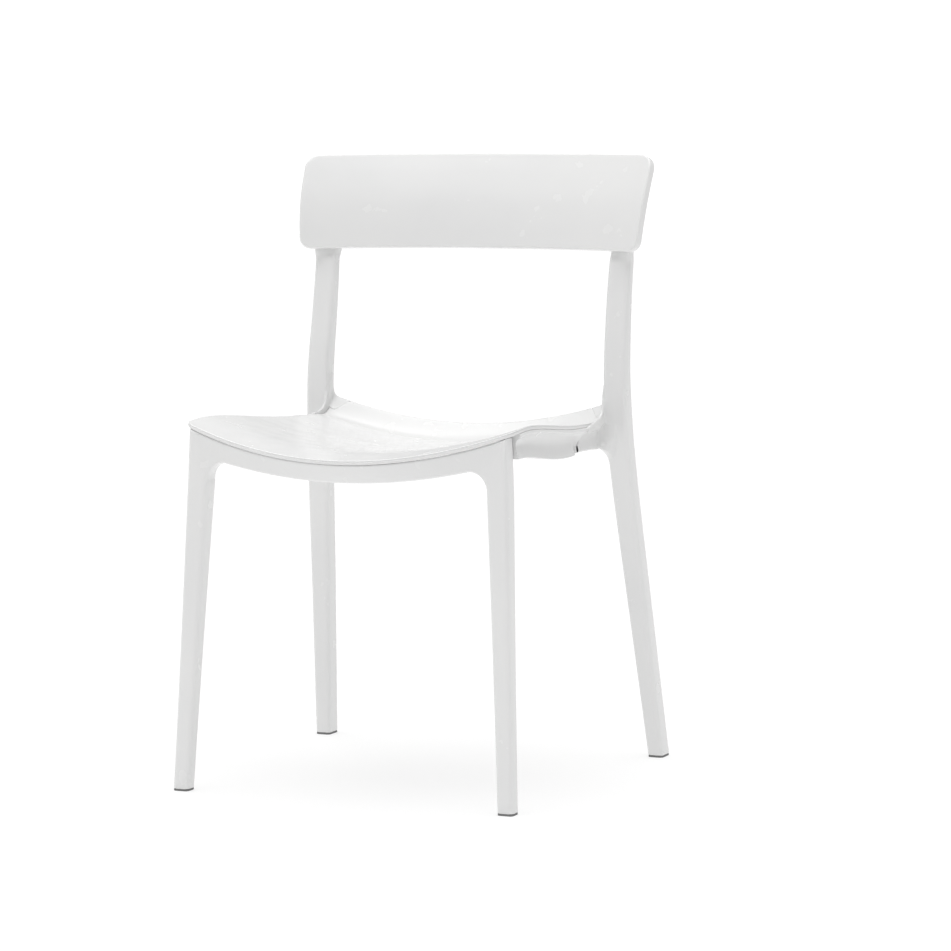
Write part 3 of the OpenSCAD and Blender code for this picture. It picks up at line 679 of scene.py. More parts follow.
@dataclass
class SeatPanel:
    """Dished seat with a beaded rim and screw bosses underneath."""

    form: ChairForm
    corner: float = 12.0
    edge: Stations = (
        (2.6, 0.0), (1.5, 0.06), (0.9, 0.3), (0.55, 0.75), (0.5, 1.2), (0.95, 1.55), (0.95, 1.8),
        (0.55, 2.05), (0.25, 2.6), (0.05, 3.4), (0.0, 4.3), (0.2, 5.0), (0.7, 5.45), (1.6, 5.6),
    )
    boss_flare: Stations = ((0, -0.5), (0.5, 0), (6.5, 0), (7.8, 0.5), (8.7, 1.6), (10.5, 2.6))

    def outline(self) -> Array:
        """Outline from above, from the middle of the rear edge round the right-hand side."""
        f = self.form
        rear = [(x, f.rear_y) for x in np.linspace(0, f.root_rear_x - 3, 30)]
        rear += [
            (f.root_rear_x - 3 + 3 * math.cos(t), f.rear_y - 3 + 3 * math.sin(t))
            for t in np.radians([70, 50, 30, 10])
        ]
        y0 = f.root_y - 0.3
        seam = [(float(f.seam_x(y)), y) for y in np.linspace(f.rear_y - 4, y0, 14)]
        out = float(f.edge_x(y0))
        seam += [(x, y0) for x in np.linspace(f.root_front_x + 2, out - 2, 5)]
        front = f.rim_y(f.half_w) + self.corner
        side = [(float(f.edge_x(y)), y) for y in np.linspace(y0 - 2, front, 60)]
        bend = []
        for a in np.radians(np.linspace(-9, -81, 9)):
            x = f.half_w - self.corner + self.corner * math.cos(a)
            bend.append((x, f.rim_y(x) + self.corner + self.corner * math.sin(a)))
        xs = (f.half_w - self.corner) * np.linspace(1, 0, 44)
        rim = [(x, f.rim_y(x)) for x in xs]
        half = np.asarray(rear + seam + side + bend + rim, float)
        return np.concatenate([half, half[-2:0:-1] * [-1, 1]])

    def ring(self, outline: Array, share: float, inset: Any, drop: float) -> Array:
        """One ring of the shell.

        Args:
            outline: The seat's outline.
            share: Share of the outline's size.
            inset: How far the ring is drawn in from the outline.
            drop: How far it lies under the top surface.

        Returns:
            Points of shape (n, 3).
        """
        mid = np.array([0.0, (self.form.front_y + self.form.rear_y) / 2])
        p = drawn_in(mid + (outline - mid) * share, mid, inset)
        return np.column_stack([p, self.form.seat_top(p[:, 0], p[:, 1]) - drop])

    def build(self) -> None:
        """Builds the seat and ties it in."""
        f, outline, shell = self.form, self.outline(), Shell.empty()
        shares = np.concatenate([np.linspace(0.06, 0.9, 22), [0.93, 0.955, 0.972, 0.984]])
        rings = [self.ring(outline, s, 0, 0) for s in shares]
        plain = (outline[:, 1] > f.root_y - 1) & (np.abs(outline[:, 0]) > f.root_rear_x - 2)
        bold = np.where(plain, 0.15, 1.0)[:, None]
        rings += [self.ring(outline, 1, inset * bold, drop) for inset, drop in self.edge]
        rings += [self.ring(outline, 1, 3.4, f.seat_wall)]
        rings += [self.ring(outline, s, 0, f.seat_wall) for s in shares[::-1]]
        shell.skin(np.asarray(rings), poles=True)
        for side in (-1, 1):
            for x, y in screw_spots(f):
                radii = [(h, f.boss_d / 2 + flare) for h, flare in self.boss_flare]
                shell.pillar((side * x, y, f.boss_foot(x, y)), radii)
        settle(shell.make("seat"), SATIN_WHITE, Slot.WHITE, "seat_panel")


def screw_spots(form: ChairForm) -> list[tuple[float, float]]:
    """Places of the screws that hold the seat, on the right-hand side."""
    ys = [lerp(form.rail_front_y, form.arm_tip_y, (k + 0.75) / 3.5) for k in range(3)]
    return [(float(form.side_x(y)) - 1 - form.rail_width - form.boss_d / 2 - 1.5, y) for y in ys]


@dataclass
class FrontFrame:
    """Two front legs and the apron between them, in one sweep."""

    form: ChairForm
    apron_height: float = 24.0
    apron_depth: float = 18.0
    apron_tuck: float = 16.0
    arch_radius: float = 24.0
    setback: float = 1.5
    leg_soft: float = 5.0
    apron_soft: float = 3.0
    corner_points: int = 7
    leg_rings: int = 40
    arch_steps: int = 42
    apron_rings: int = 40
    climb: float = 3 / 7

    def leg(self, z: float) -> tuple[float, float, float]:
        """Middle x, middle y and width of the leg at a height."""
        f = self.form
        down = 1 - z / f.knee_z
        share = min(max(z / f.knee_z, 0.0), 1.0) ** 1.4
        wide = lerp(f.front_foot_w, f.front_knee_w, share)
        return f.front_top_x + f.front_splay * down, f.front_top_y - f.front_rake * down, wide

    def top_z(self, x: float) -> float:
        """Top edge of the apron."""
        return float(self.form.under_rim(x, self.form.rim_y(x)))

    def bottom_z(self, x: float) -> float:
        """Lower edge of the apron."""
        f = self.form
        low = f.seat_z - f.seat_rim - self.apron_height
        return low + f.seat_dish * 0.85 * (x / f.half_w) ** 2

    def y_top(self, x: float) -> float:
        """Middle of the apron's thickness at its top."""
        return self.form.rim_y(x) + self.setback + self.apron_depth / 2

    def y_bottom(self, x: float) -> float:
        """Middle of the apron's thickness at its lower edge."""
        return self.y_top(x) + self.apron_tuck * (1 - (x / self.form.half_w) ** 2)

    def edge_ring(self, inner: Any, outer: Any, deep: float, r: float) -> Array:
        """Ring across the member.

        Args:
            inner: Inner edge, as x, z and the y of its middle.
            outer: Outer edge, likewise.
            deep: Depth of the member.
            r: Radius of its corners.

        Returns:
            Points of shape (n, 3).
        """
        w = math.hypot(outer[0] - inner[0], outer[1] - inner[1])
        q = soft_rect(w, deep, r, self.corner_points)
        t = 0.5 + q[:, 0] / w
        return np.stack(
            [
                lerp(inner[0], outer[0], t),
                lerp(inner[2], outer[2], t) + q[:, 1],
                lerp(inner[1], outer[1], t),
            ],
            1,
        )

    def build(self) -> None:
        """Builds the frame and ties it in."""
        f = self.form
        x0, _, w0 = self.leg(f.knee_z)
        arch_x = x0 - w0 / 2 - self.arch_radius
        arch_z = self.bottom_z(arch_x) - self.arch_radius
        rings = []
        for z in [f.foot_z, f.foot_z + 0.8, *np.linspace(f.foot_z + 12, arch_z, self.leg_rings)]:
            x, y, w = self.leg(z)
            inset = 0.6 if z == f.foot_z else 0.0
            half_w = w / 2 - inset
            inner, outer = (x - half_w, z, y), (x + half_w, z, y)
            rings.append(self.edge_ring(inner, outer, 2 * half_w, self.leg_soft))
        xa, ya, wa = self.leg(arch_z)
        corner_x = x0 + f.front_knee_w / 2 - 3
        corner_z = self.top_z(corner_x)
        for i in range(1, self.arch_steps):
            t = i / self.arch_steps
            a = math.radians(90 * t)
            inner = (
                arch_x + self.arch_radius * math.cos(a),
                arch_z + self.arch_radius * math.sin(a),
                lerp(ya, self.y_bottom(arch_x), t),
            )
            if t <= self.climb:
                ox = lerp(xa + wa / 2, corner_x, t / self.climb)
                oz = lerp(arch_z, corner_z, t / self.climb)
            else:
                ox = lerp(corner_x, arch_x, (t - self.climb) / (1 - self.climb))
                oz = self.top_z(ox)
            oy = lerp(ya, self.y_top(ox), min(max(2 * t - 0.5, 0.0), 1.0))
            deep = lerp(f.front_knee_w, self.apron_depth, float(ease(t)))
            soft = lerp(self.leg_soft, self.apron_soft, t)
            rings.append(self.edge_ring(inner, (ox, oz, oy), deep, soft))
        for x in np.linspace(arch_x, 0, self.apron_rings):
            lower = (x, self.bottom_z(x), self.y_bottom(x))
            upper = (x, self.top_z(x), self.y_top(x))
            rings.append(self.edge_ring(lower, upper, self.apron_depth, self.apron_soft))
        half = np.asarray(rings)
        other = half[-2::-1] * [-1, 1, 1]
        shell = Shell.empty()
        shell.skin(np.concatenate([half, other]))
        settle(shell.make("front_legs_and_apron"), SATIN_WHITE, Slot.WHITE, "front_frame")


@dataclass
class RearFrame:
    """Rear legs, uprights, crossrail and arms, blended into one another."""

    form: ChairForm
    cross_height: float = 38.0
    arm_scoop: float = 5.0
    arm_tuck: float = 3.0
    root_front: float = 22.0
    root_rear: float = 39.0
    cheek_wall: float = 3.2
    cheek_height: float = 12.0
    leg_soft: float = 5.0
    tenon_soft: float = 3.0
    beam_blend: float = 10.0
    leg_blend: float = 4.0
    under_blend: float = 34.0
    cheek_blend: float = 6.0
    fine: float = 1.8
    coarse: float = 7.5
    cheek_rise: Stations = (
        (60, -7), (72, -5.2), (95, -1.5), (118, 2.5), (132, 7), (140, 12), (148, 25), (156, 44),
    )

    def leg(self, x: Array, y: Array, z: Array) -> Array:
        """Field of a leg with its upright."""
        f = self.form
        up = ease((z - (f.panel_low - 18)) / 14)
        zz = np.minimum(z, f.upright_end)
        deep = f.upright_top_d - 4 * (zz - f.panel_low) / (f.upright_end - f.panel_low)
        hold = np.maximum(zz, f.panel_low - 20)
        behind = f.panel_back_y(x, hold) + f.back_gap + deep / 2
        mid_y = lerp(curve(zz, f.line_y), behind, up)
        d = lerp(curve(zz, f.depths), deep, up)
        w = curve(zz, f.widths)
        r = lerp(self.leg_soft, self.tenon_soft, up)
        qx = np.abs(x - curve(zz, f.line_x)) - w / 2 + r
        qy = np.abs(y - mid_y) - d / 2 + r
        past = np.hypot(np.maximum(qx, 0), np.maximum(qy, 0))
        flat = past + np.minimum(np.maximum(qx, qy), 0) - r
        flat = soft_cut(flat, f.foot_z - z, 1.2)
        return soft_cut(flat, z - f.upright_end, 5.0)

    def crossrail(self, x: Array, y: Array, z: Array) -> Array:
        """Field of the crossrail, whose top follows the seat's rear edge."""
        f = self.form
        top = f.under_rim(np.minimum(x, f.root_rear_x), np.minimum(y, f.rear_y))
        low = f.under_rim(0.0, f.rear_y) - self.cross_height
        low = low + f.seat_dish * 0.75 * (x / f.half_w) ** 2
        depth = np.abs(y - (f.cross_front_y + f.cross_rear_y) / 2) - f.cross_depth / 2
        body = soft_cut(soft_cut(depth, low - z, 5.0), z - top, 1.0)
        return np.maximum(body, x - f.waist_x)

    def arm(self, x: Array, y: Array, z: Array) -> Array:
        """Field of an arm, with its scooped outer side."""
        f = self.form
        out = f.side_x(y) - 1
        top = f.under_rim(out, np.minimum(y, f.cross_front_y)) - 0.2
        low = f.under_rim(out, y) - f.rail_height
        t = np.clip((top - z) / (top - low), 0, 1)
        outer = out - self.arm_tuck * t - self.arm_scoop * 4 * t * (1 - t) * (1 - 0.3 * t)
        inner = out - f.rail_width - x
        body = soft_cut(x - outer, low - z, 4.0)
        body = soft_cut(soft_cut(body, inner, 2.0), z - top, 1.0)
        return np.maximum(np.maximum(body, self.tip(y, z)), y - f.cross_rear_y + 4)

    def tip(self, y: Array, z: Array) -> Array:
        """Field of the slanted plane where the arm meets the side rail."""
        f = self.form
        mid = f.under_rim(f.side_x(y), y) - f.rail_height / 2
        return (f.arm_tip_y - 0.6 + (z - mid) - y) / math.sqrt(2)

    def cheek(self, x: Array, y: Array, z: Array) -> Array:
        """Field of the bead that runs along the arm and sweeps up into the upright."""
        f = self.form
        edge = f.seat_top(f.side_x(y), np.minimum(y, f.root_y))
        inside = f.edge_x(y) + f.fit_gap - x
        body = soft_cut(inside, -inside - self.cheek_wall, 1.2)
        body = soft_cut(body, z - edge - curve(np.clip(y, 60, 156), self.cheek_rise), 1.6)
        body = soft_cut(body, edge - self.cheek_height + 3 * ease((y - 100) / 40) - z, 2.0)
        return np.maximum(np.maximum(body, self.tip(y, z)), y - f.cross_front_y - 8)

    def root(self, x: Array, y: Array, z: Array) -> Array:
        """Field of the fillet between an upright's inner side and the seat."""
        f = self.form
        bed = f.seat_bed(x)
        start = f.seam_x(y)
        wide = f.waist_x - f.upright_w / 2 + 1.6 - start
        tall = lerp(self.root_front, self.root_rear, np.clip((y - f.root_y) / 22, 0, 1))
        rise = np.maximum(bed + tall - z, 0) / tall
        fillet = (1 - np.hypot(np.maximum(x - start, 0) / wide, rise)) * np.minimum(wide, tall)
        floor = z - bed - f.seat_rise(np.minimum(x, f.root_rear_x), np.minimum(y, f.rear_y))
        face = curve(z, f.line_y) - curve(z, f.depths) / 2
        body = soft_cut(soft_union(fillet, floor, 5.0), y - f.rear_y, 1.5)
        body = np.maximum(np.maximum(body, face + 0.2 - y), start - 0.2 - x)
        return np.maximum(np.maximum(body, x - f.waist_x), bed - 12 - z)

    def seat_room(self, x: Array, y: Array, z: Array) -> Array:
        """Field of the space that the seat needs."""
        f = self.form
        room = np.maximum(f.under_rim(x, np.minimum(y, f.rear_y)) - z, y - f.rear_y - 0.3)
        return np.maximum(room, x - np.where(y < f.root_y, f.edge_x(y) + 0.2, f.seam_x(y)))

    def field(self, x: Array, y: Array, z: Array) -> Array:
        """Field of the whole frame, the same on both sides."""
        f = self.form
        x = np.abs(x)
        beams = soft_union(self.crossrail(x, y, z), self.arm(x, y, z), self.beam_blend)
        under = ease((f.seat_z + 8 - z) / 22) * ease((curve(z, f.line_x) + 2 - x) / 12)
        reach = lerp(self.leg_blend, self.under_blend, under)
        body = soft_union(self.leg(x, y, z), beams, reach)
        body = soft_union(body, self.cheek(x, y, z), self.cheek_blend)
        body = np.maximum(body, -self.seat_room(x, y, z))
        return soft_union(body, self.root(x, y, z), 1.0)

    def build(self) -> None:
        """Builds the frame and ties it in."""
        xs = np.concatenate([np.arange(0.75, 150, self.coarse), np.arange(150.75, 264, self.fine)])
        xs = np.concatenate([-xs[::-1], xs])
        ys = np.arange(50.3, 262, self.fine)
        zs = np.concatenate(
            [
                [-1.3, 1.4, 2.2, 3.0, 4.2],
                np.arange(10, 384, 7.0),
                np.arange(386.5, 516, 1.7),
                np.arange(521, 776, 6.0),
                np.arange(778.3, 790, 1.5),
            ]
        )
        shell = surface_net(self.field, (xs, ys, zs))
        settle(shell.make("rear_legs_and_uprights", 50), SATIN_WHITE, Slot.WHITE, "rear_frame")


class Hand(Enum):
    """Which side of the chair a part is on, as seen from the front."""

    LEFT = -1
    RIGHT = 1


@dataclass
class SideRail:
    """Rail under each side of the seat: a bead, a scooped web and a pocket inside."""

    form: ChairForm
    hand: Hand
    belly: float = 7.0
    bead: float = 1.5
    drop: float = 6.0
    tuck: float = 3.0
    belly_out: float = 20.0
    turn_length: float = 40.0
    tab_width: float = 13.7
    tab_soft: float = 0.6
    web: Stations = ((0, 1.0), (0.1, 3.4), (0.28, 5.0), (0.55, 4.4), (0.8, 2.6), (1.0, 0.3))

    def height(self, y: float) -> float:
        """Height of the rail."""
        f = self.form
        t = min(max((y - f.rail_front_y) / (f.arm_tip_y - f.rail_front_y), 0.0), 1.0)
        return f.rail_height + self.belly * math.sin(math.pi * t)

    def section(self, y: float, open_pocket: bool) -> Array:
        """Section of the rail as x and z points, with its pocket open or pressed flat."""
        f = self.form
        x = float(f.side_x(y))
        zt, h = float(f.under_rim(x, y)), self.height(y)
        xi = x - 1 - f.rail_width
        zi = float(f.under_rim(xi, y))
        out = x + self.bead
        points = [(x - 1.2, zt), (x + 0.3, zt - 0.25), (x + 1.2, zt - 1.0), (out, zt - 2.2)]
        points += [(out, zt - 3.6), (x + 0.9, zt - 4.6), (x - 0.2, zt - 5.4)]
        end = float(ease((y - f.arm_tip_y + 45) / 45))
        for t in np.linspace(0, 1, 18):
            plain = 1 + self.tuck * t + self.belly_out * t * (1 - t)
            back = lerp(float(curve(t, self.web)), plain, end)
            points.append((x - back, zt - lerp(self.drop, h - 1.2, t)))
        x_low = x - lerp(self.web[-1][1], 1 + self.tuck, end)
        zl = zt - h
        points += [(x_low - 0.4, zl + 0.35), (x_low - 1.4, zl), (xi + 1, zl), (xi, zl + 1)]
        xo = float(f.pocket_x(y))
        deep = xo if open_pocket else xi
        zb, zp = zl + f.rail_wall, float(f.under_rim(xo, y)) - f.rail_wall
        points += [(xi, zb), (deep, zb), (deep, zp), (xi, zi - f.rail_wall), (xi, zi)]
        return np.asarray(points)

    def ring(self, y: float, open_pocket: bool, lean: float) -> Array:
        """Ring of the rail, leaning by that much where it meets the arm."""
        f = self.form
        c = self.section(y, open_pocket)
        mid = float(f.under_rim(f.side_x(y), y)) - f.rail_height / 2
        return np.stack([c[:, 0], y + lean * (c[:, 1] - mid), c[:, 1]], 1)

    def build(self) -> None:
        """Builds the rail and ties it in."""
        f = self.form
        ends = (f.rail_front_y + f.fit_gap, f.arm_tip_y - f.fit_gap)
        mouth = (f.rail_front_y + f.rail_end_wall, f.arm_tip_y - f.rail_end_wall - 10)

        def turn(y: float) -> float:
            """Lean of a ring, which grows towards the arm."""
            return float(ease((y - (ends[1] - self.turn_length)) / self.turn_length))

        rings = [self.ring(y, False, 0.0) for y in np.linspace(ends[0], mouth[0], 3)]
        rings += [self.ring(y, True, turn(y)) for y in np.linspace(mouth[0], mouth[1], 44)]
        rings += [self.ring(y, False, turn(y)) for y in np.linspace(mouth[1], ends[1], 5)]
        shell = Shell.empty()
        shell.skin(np.asarray(rings))
        half = self.tab_width / 2
        for x, y in screw_spots(f):
            z = float(f.boss_foot(x, y)) - f.fit_gap
            web = float(f.side_x(y)) - f.rail_scoop - f.rail_wall
            shell.slab((x - half, y - half, z - f.tab_wall), (web, y + half, z), self.tab_soft)
        if self.hand is Hand.LEFT:
            shell.points = [p * [-1, 1, 1] for p in shell.points]
            shell.faces = [face[::-1] for face in shell.faces]
        name = self.hand.name.lower() + "_side_rail"
        settle(shell.make(name.replace("side_", "seat_"), 42), SATIN_WHITE, Slot.WHITE, name)


@dataclass
class BackPanel:
    """Curved back panel with round edges."""

    form: ChairForm
    taper: float = 13.0
    corner: float = 16.0
    crown: float = 3.0
    bow_low: float = 2.5
    round_steps: int = 8
    edge_soft: float = 2.4

    def half(self, z: Any) -> Any:
        """Half of the panel's width at a height."""
        f = self.form
        t = np.clip((f.top_z - 12 - z) / (f.panel_height - 24), 0, 1)
        return f.panel_width / 2 - self.taper / 2 * t**1.5

    def edge(self, x: Any, top: bool) -> Any:
        """Height of the top or the lower edge."""
        f = self.form
        share = (x / (f.panel_width / 2)) ** 2
        return f.top_z - self.crown * share if top else f.panel_low - self.bow_low * share

    def quarter(self, top: bool) -> list[tuple[float, float]]:
        """Outline from the middle of an edge to the end of its corner, as x and z."""
        f = self.form
        s = 1 if top else -1
        end = self.edge(f.panel_width / 2, top)
        zc = end - s * self.corner
        xc = float(self.half(end)) - self.corner
        lift = self.edge(xc, top) - end
        points = [(x, self.edge(x, top)) for x in np.linspace(0, xc, 40)[:-1]]
        for a in np.radians(np.linspace(90, 0, 11)):
            z = zc + s * self.corner * math.sin(a)
            reach = self.corner + float(self.half(z)) - float(self.half(end))
            points.append((xc + reach * math.cos(a), z + lift * math.sin(a)))
        return points

    def outline(self) -> Array:
        """Whole outline, as x and z."""
        high, low = self.quarter(True), self.quarter(False)
        zs = np.linspace(high[-1][1], low[-1][1], 16)[1:-1]
        side = [(float(self.half(z)), z) for z in zs]
        right = np.asarray(high + side + low[::-1])
        return np.concatenate([right, right[-2:0:-1] * [-1, 1]])

    def ring(self, outline: Array, inset: float, share: float, depth: float) -> Array:
        """Outline drawn in by inset and shrunk to a share, at a depth in the wall."""
        f = self.form
        mid = np.array([0.0, f.top_z - f.panel_height / 2])
        x, z = (mid + (drawn_in(outline, mid, inset) - mid) * share).T
        base = np.stack([x, f.panel_y(x, z), z], 1)
        return base + depth * f.panel_normal(x, z)

    def build(self) -> None:
        """Builds the panel and ties it in."""
        f, outline = self.form, self.outline()
        r = self.edge_soft
        shares = np.linspace(0.04, 0.985, 24)
        arc = np.radians(np.linspace(0, 90, self.round_steps))
        rings = [self.ring(outline, r, s, 0) for s in shares]
        rings += [self.ring(outline, r * (1 - math.sin(a)), 1, r * (1 - math.cos(a))) for a in arc]
        rings += [
            self.ring(outline, r * (1 - math.sin(a)), 1, f.panel_wall - r * (1 - math.cos(a)))
            for a in arc[::-1]
        ]
        rings += [self.ring(outline, r, s, f.panel_wall) for s in shares[::-1]]
        shell = Shell.empty()
        shell.skin(np.asarray(rings), poles=True)
        settle(shell.make("back"), SATIN_WHITE, Slot.WHITE, "back_panel")


# ---------- fasteners and glides, by geometry nodes ----------


class NodeWeb:
    """A geometry node tree under construction."""

    def __init__(self, name: str, sizes: Sequence[str]) -> None:
        """Opens a tree with a geometry input, a material input and a named input for each size."""
        self.tree = bpy.data.node_groups.new(name, "GeometryNodeTree")
        face = self.tree.interface
        face.new_socket("Places", in_out="INPUT", socket_type="NodeSocketGeometry")
        self.keys = {}
        for size in sizes:
            socket = face.new_socket(size, in_out="INPUT", socket_type="NodeSocketFloat")
            self.keys[size] = socket.identifier
        socket = face.new_socket("Finish", in_out="INPUT", socket_type="NodeSocketMaterial")
        self.keys["Finish"] = socket.identifier
        face.new_socket("Pieces", in_out="OUTPUT", socket_type="NodeSocketGeometry")
        self.given = self.tree.nodes.new("NodeGroupInput")

    def node(self, kind: str, inputs: dict[Any, Any] | None = None, **settings: Any) -> Any:
        """Adds a node.

        Args:
            kind: Its type.
            inputs: What goes into each input: an output socket to link, or a value.
            settings: Properties of the node.

        Returns:
            The node.
        """
        made = self.tree.nodes.new(kind)
        for key, value in settings.items():
            setattr(made, key, value)
        return fill(made, inputs or {})

    def size(self, name: str) -> bpy.types.NodeSocket:
        """The tree's own input of that name."""
        return self.given.outputs[name]

    def math(self, kind: str, a: Any, b: Any = 0.0) -> bpy.types.NodeSocket:
        """A sum, product or the like of two values."""
        return self.node("ShaderNodeMath", {0: a, 1: b}, operation=kind).outputs[0]

    def vector(self, x: Any = 0.0, y: Any = 0.0, z: Any = 0.0) -> bpy.types.NodeSocket:
        """A vector from three values."""
        return self.node("ShaderNodeCombineXYZ", {0: x, 1: y, 2: z}).outputs[0]

    def join(self, *parts: bpy.types.NodeSocket) -> bpy.types.NodeSocket:
        """Several geometries as one."""
        made = self.tree.nodes.new("GeometryNodeJoinGeometry")
        for part in parts:
            self.tree.links.new(part, made.inputs[0])
        return made.outputs[0]

    def finish(self, piece: bpy.types.NodeSocket) -> None:
        """Puts the piece at each place, turned to its aim, and ends the tree."""
        aim = self.node(
            "GeometryNodeInputNamedAttribute", {"Name": "aim"}, data_type="FLOAT_VECTOR"
        )
        turn = self.node("FunctionNodeAlignRotationToVector", {"Vector": aim.outputs[0]}, axis="Z")
        spread = self.node(
            "GeometryNodeInstanceOnPoints",
            {"Points": self.size("Places"), "Instance": piece, "Rotation": turn.outputs[0]},
        )
        real = self.node("GeometryNodeRealizeInstances", {0: spread.outputs[0]})
        dressed = self.node(
            "GeometryNodeSetMaterial", {0: real.outputs[0], "Material": self.size("Finish")}
        )
        end = self.tree.nodes.new("NodeGroupOutput")
        self.tree.links.new(dressed.outputs[0], end.inputs[0])

    def grow(
        self, name: str, places: Array, aims: Array, sizes: dict[str, float], finish: Finish
    ) -> bpy.types.Object:
        """Runs the tree over places and turns the result into a plain mesh.

        Args:
            name: Name of the object.
            places: Points in metres.
            aims: Direction of each piece's own Z.
            sizes: Value of each named input, in metres.
            finish: Surface of the pieces.

        Returns:
            The object, with no modifier left on it.
        """
        mesh = bpy.data.meshes.new(name + "_places")
        mesh.from_pydata(np.asarray(places, float).tolist(), [], [])
        aim = mesh.attributes.new("aim", "FLOAT_VECTOR", "POINT")
        aim.data.foreach_set("vector", np.asarray(aims, np.float32).ravel())
        obj = placed(name, mesh)
        modifier = obj.modifiers.new("grow", "NODES")
        modifier.node_group = self.tree
        for key, value in sizes.items():
            modifier[self.keys[key]] = value
        modifier[self.keys["Finish"]] = finish.make()
        bpy.context.view_layer.update()
        result = bpy.data.meshes.new_from_object(
            obj.evaluated_get(bpy.context.evaluated_depsgraph_get())
        )
        obj.modifiers.remove(modifier)
        obj.data = result
        result.name = name
        mend_mesh(result, CRISP_PART)
        return obj


def screw_tree() -> NodeWeb:
    """Tree of a screw along its own Z, with the underside of its head at the place."""
    web = NodeWeb("screw", ("Shank Diameter", "Shank Length", "Head Diameter", "Head Height"))
    head_r = web.math("MULTIPLY", web.size("Head Diameter"), 0.5)
    shank_r = web.math("MULTIPLY", web.size("Shank Diameter"), 0.5)
    shank = web.node(
        "GeometryNodeMeshCylinder",
        {"Vertices": 24, "Radius": shank_r, "Depth": web.size("Shank Length")},
    )
    half = web.math("MULTIPLY", web.size("Shank Length"), 0.5)
    shank = web.node(
        "GeometryNodeTransform", {0: shank.outputs[0], "Translation": web.vector(z=half)}
    )
    dome = web.node(
        "GeometryNodeMeshCone",
        {
            "Vertices": 32,
            "Radius Top": web.math("MULTIPLY", head_r, 0.74),
            "Radius Bottom": head_r,
            "Depth": web.size("Head Height"),
        },
    )
    rim = web.node(
        "GeometryNodeExtrudeMesh",
        {"Mesh": dome.outputs["Mesh"], "Selection": dome.outputs["Top"], "Offset Scale": 0.0},
        mode="FACES",
    )
    drive = web.node(
        "GeometryNodeScaleElements",
        {"Geometry": rim.outputs["Mesh"], "Selection": rim.outputs["Top"], "Scale": 0.62},
        domain="FACE",
    )
    sunk = web.node(
        "GeometryNodeExtrudeMesh",
        {
            "Mesh": drive.outputs[0],
            "Selection": rim.outputs["Top"],
            "Offset Scale": web.math("MULTIPLY", web.size("Head Height"), -0.6),
        },
        mode="FACES",
    )
    turned = web.node(
        "GeometryNodeTransform",
        {0: sunk.outputs["Mesh"], "Rotation": (math.pi, 0.0, 0.0)},
    )
    web.finish(web.join(shank.outputs[0], turned.outputs[0]))
    return web


def cap_tree() -> NodeWeb:
    """Tree of a round cap along its own Z, with a soft outer edge."""
    web = NodeWeb("cap", ("Cap Diameter", "Cap Height", "Edge"))
    r = web.math("MULTIPLY", web.size("Cap Diameter"), 0.5)
    body_h = web.math("SUBTRACT", web.size("Cap Height"), web.size("Edge"))
    body = web.node("GeometryNodeMeshCylinder", {"Vertices": 40, "Radius": r, "Depth": body_h})
    lift = web.math("ADD", web.math("MULTIPLY", body_h, 0.5), web.size("Edge"))
    body = web.node(
        "GeometryNodeTransform", {0: body.outputs[0], "Translation": web.vector(z=lift)}
    )
    lid = web.node(
        "GeometryNodeMeshCone",
        {
            "Vertices": 40,
            "Radius Bottom": web.math("SUBTRACT", r, web.size("Edge")),
            "Radius Top": r,
            "Depth": web.size("Edge"),
        },
    )
    web.finish(web.join(body.outputs[0], lid.outputs[0]))
    return web


def glide_tree() -> NodeWeb:
    """Tree of a foot glide: a soft-cornered pad with its stem."""
    web = NodeWeb(
        "glide", ("Pad Width", "Pad Depth", "Pad Height", "Pad Corner", "Stem Diameter", "Stem Top")
    )
    outline = web.node(
        "GeometryNodeCurvePrimitiveQuadrilateral",
        {"Width": web.size("Pad Width"), "Height": web.size("Pad Depth")},
    )
    soft = web.node(
        "GeometryNodeFilletCurve",
        {"Curve": outline.outputs[0], "Count": 6, "Radius": web.size("Pad Corner")},
        mode="POLY",
    )
    sole = web.node("GeometryNodeFillCurve", {"Curve": soft.outputs[0]}, mode="NGONS")
    tall = web.node(
        "GeometryNodeExtrudeMesh",
        {
            "Mesh": sole.outputs[0],
            "Offset": web.vector(z=web.size("Pad Height")),
            "Individual": False,
        },
        mode="FACES",
    )
    under = web.node("GeometryNodeFlipFaces", {0: sole.outputs[0]})
    stem_h = web.size("Stem Top")
    stem = web.node(
        "GeometryNodeMeshCylinder",
        {
            "Vertices": 24,
            "Radius": web.math("MULTIPLY", web.size("Stem Diameter"), 0.5),
            "Depth": web.math("SUBTRACT", stem_h, 0.0002),
        },
    )
    lift = web.math("ADD", web.math("MULTIPLY", stem_h, 0.5), 0.0001)
    stem = web.node(
        "GeometryNodeTransform", {0: stem.outputs[0], "Translation": web.vector(z=lift)}
    )
    pad = web.node("GeometryNodeMergeByDistance", {0: web.join(tall.outputs[0], under.outputs[0])})
    web.finish(web.join(pad.outputs[0], stem.outputs[0]))
    return web


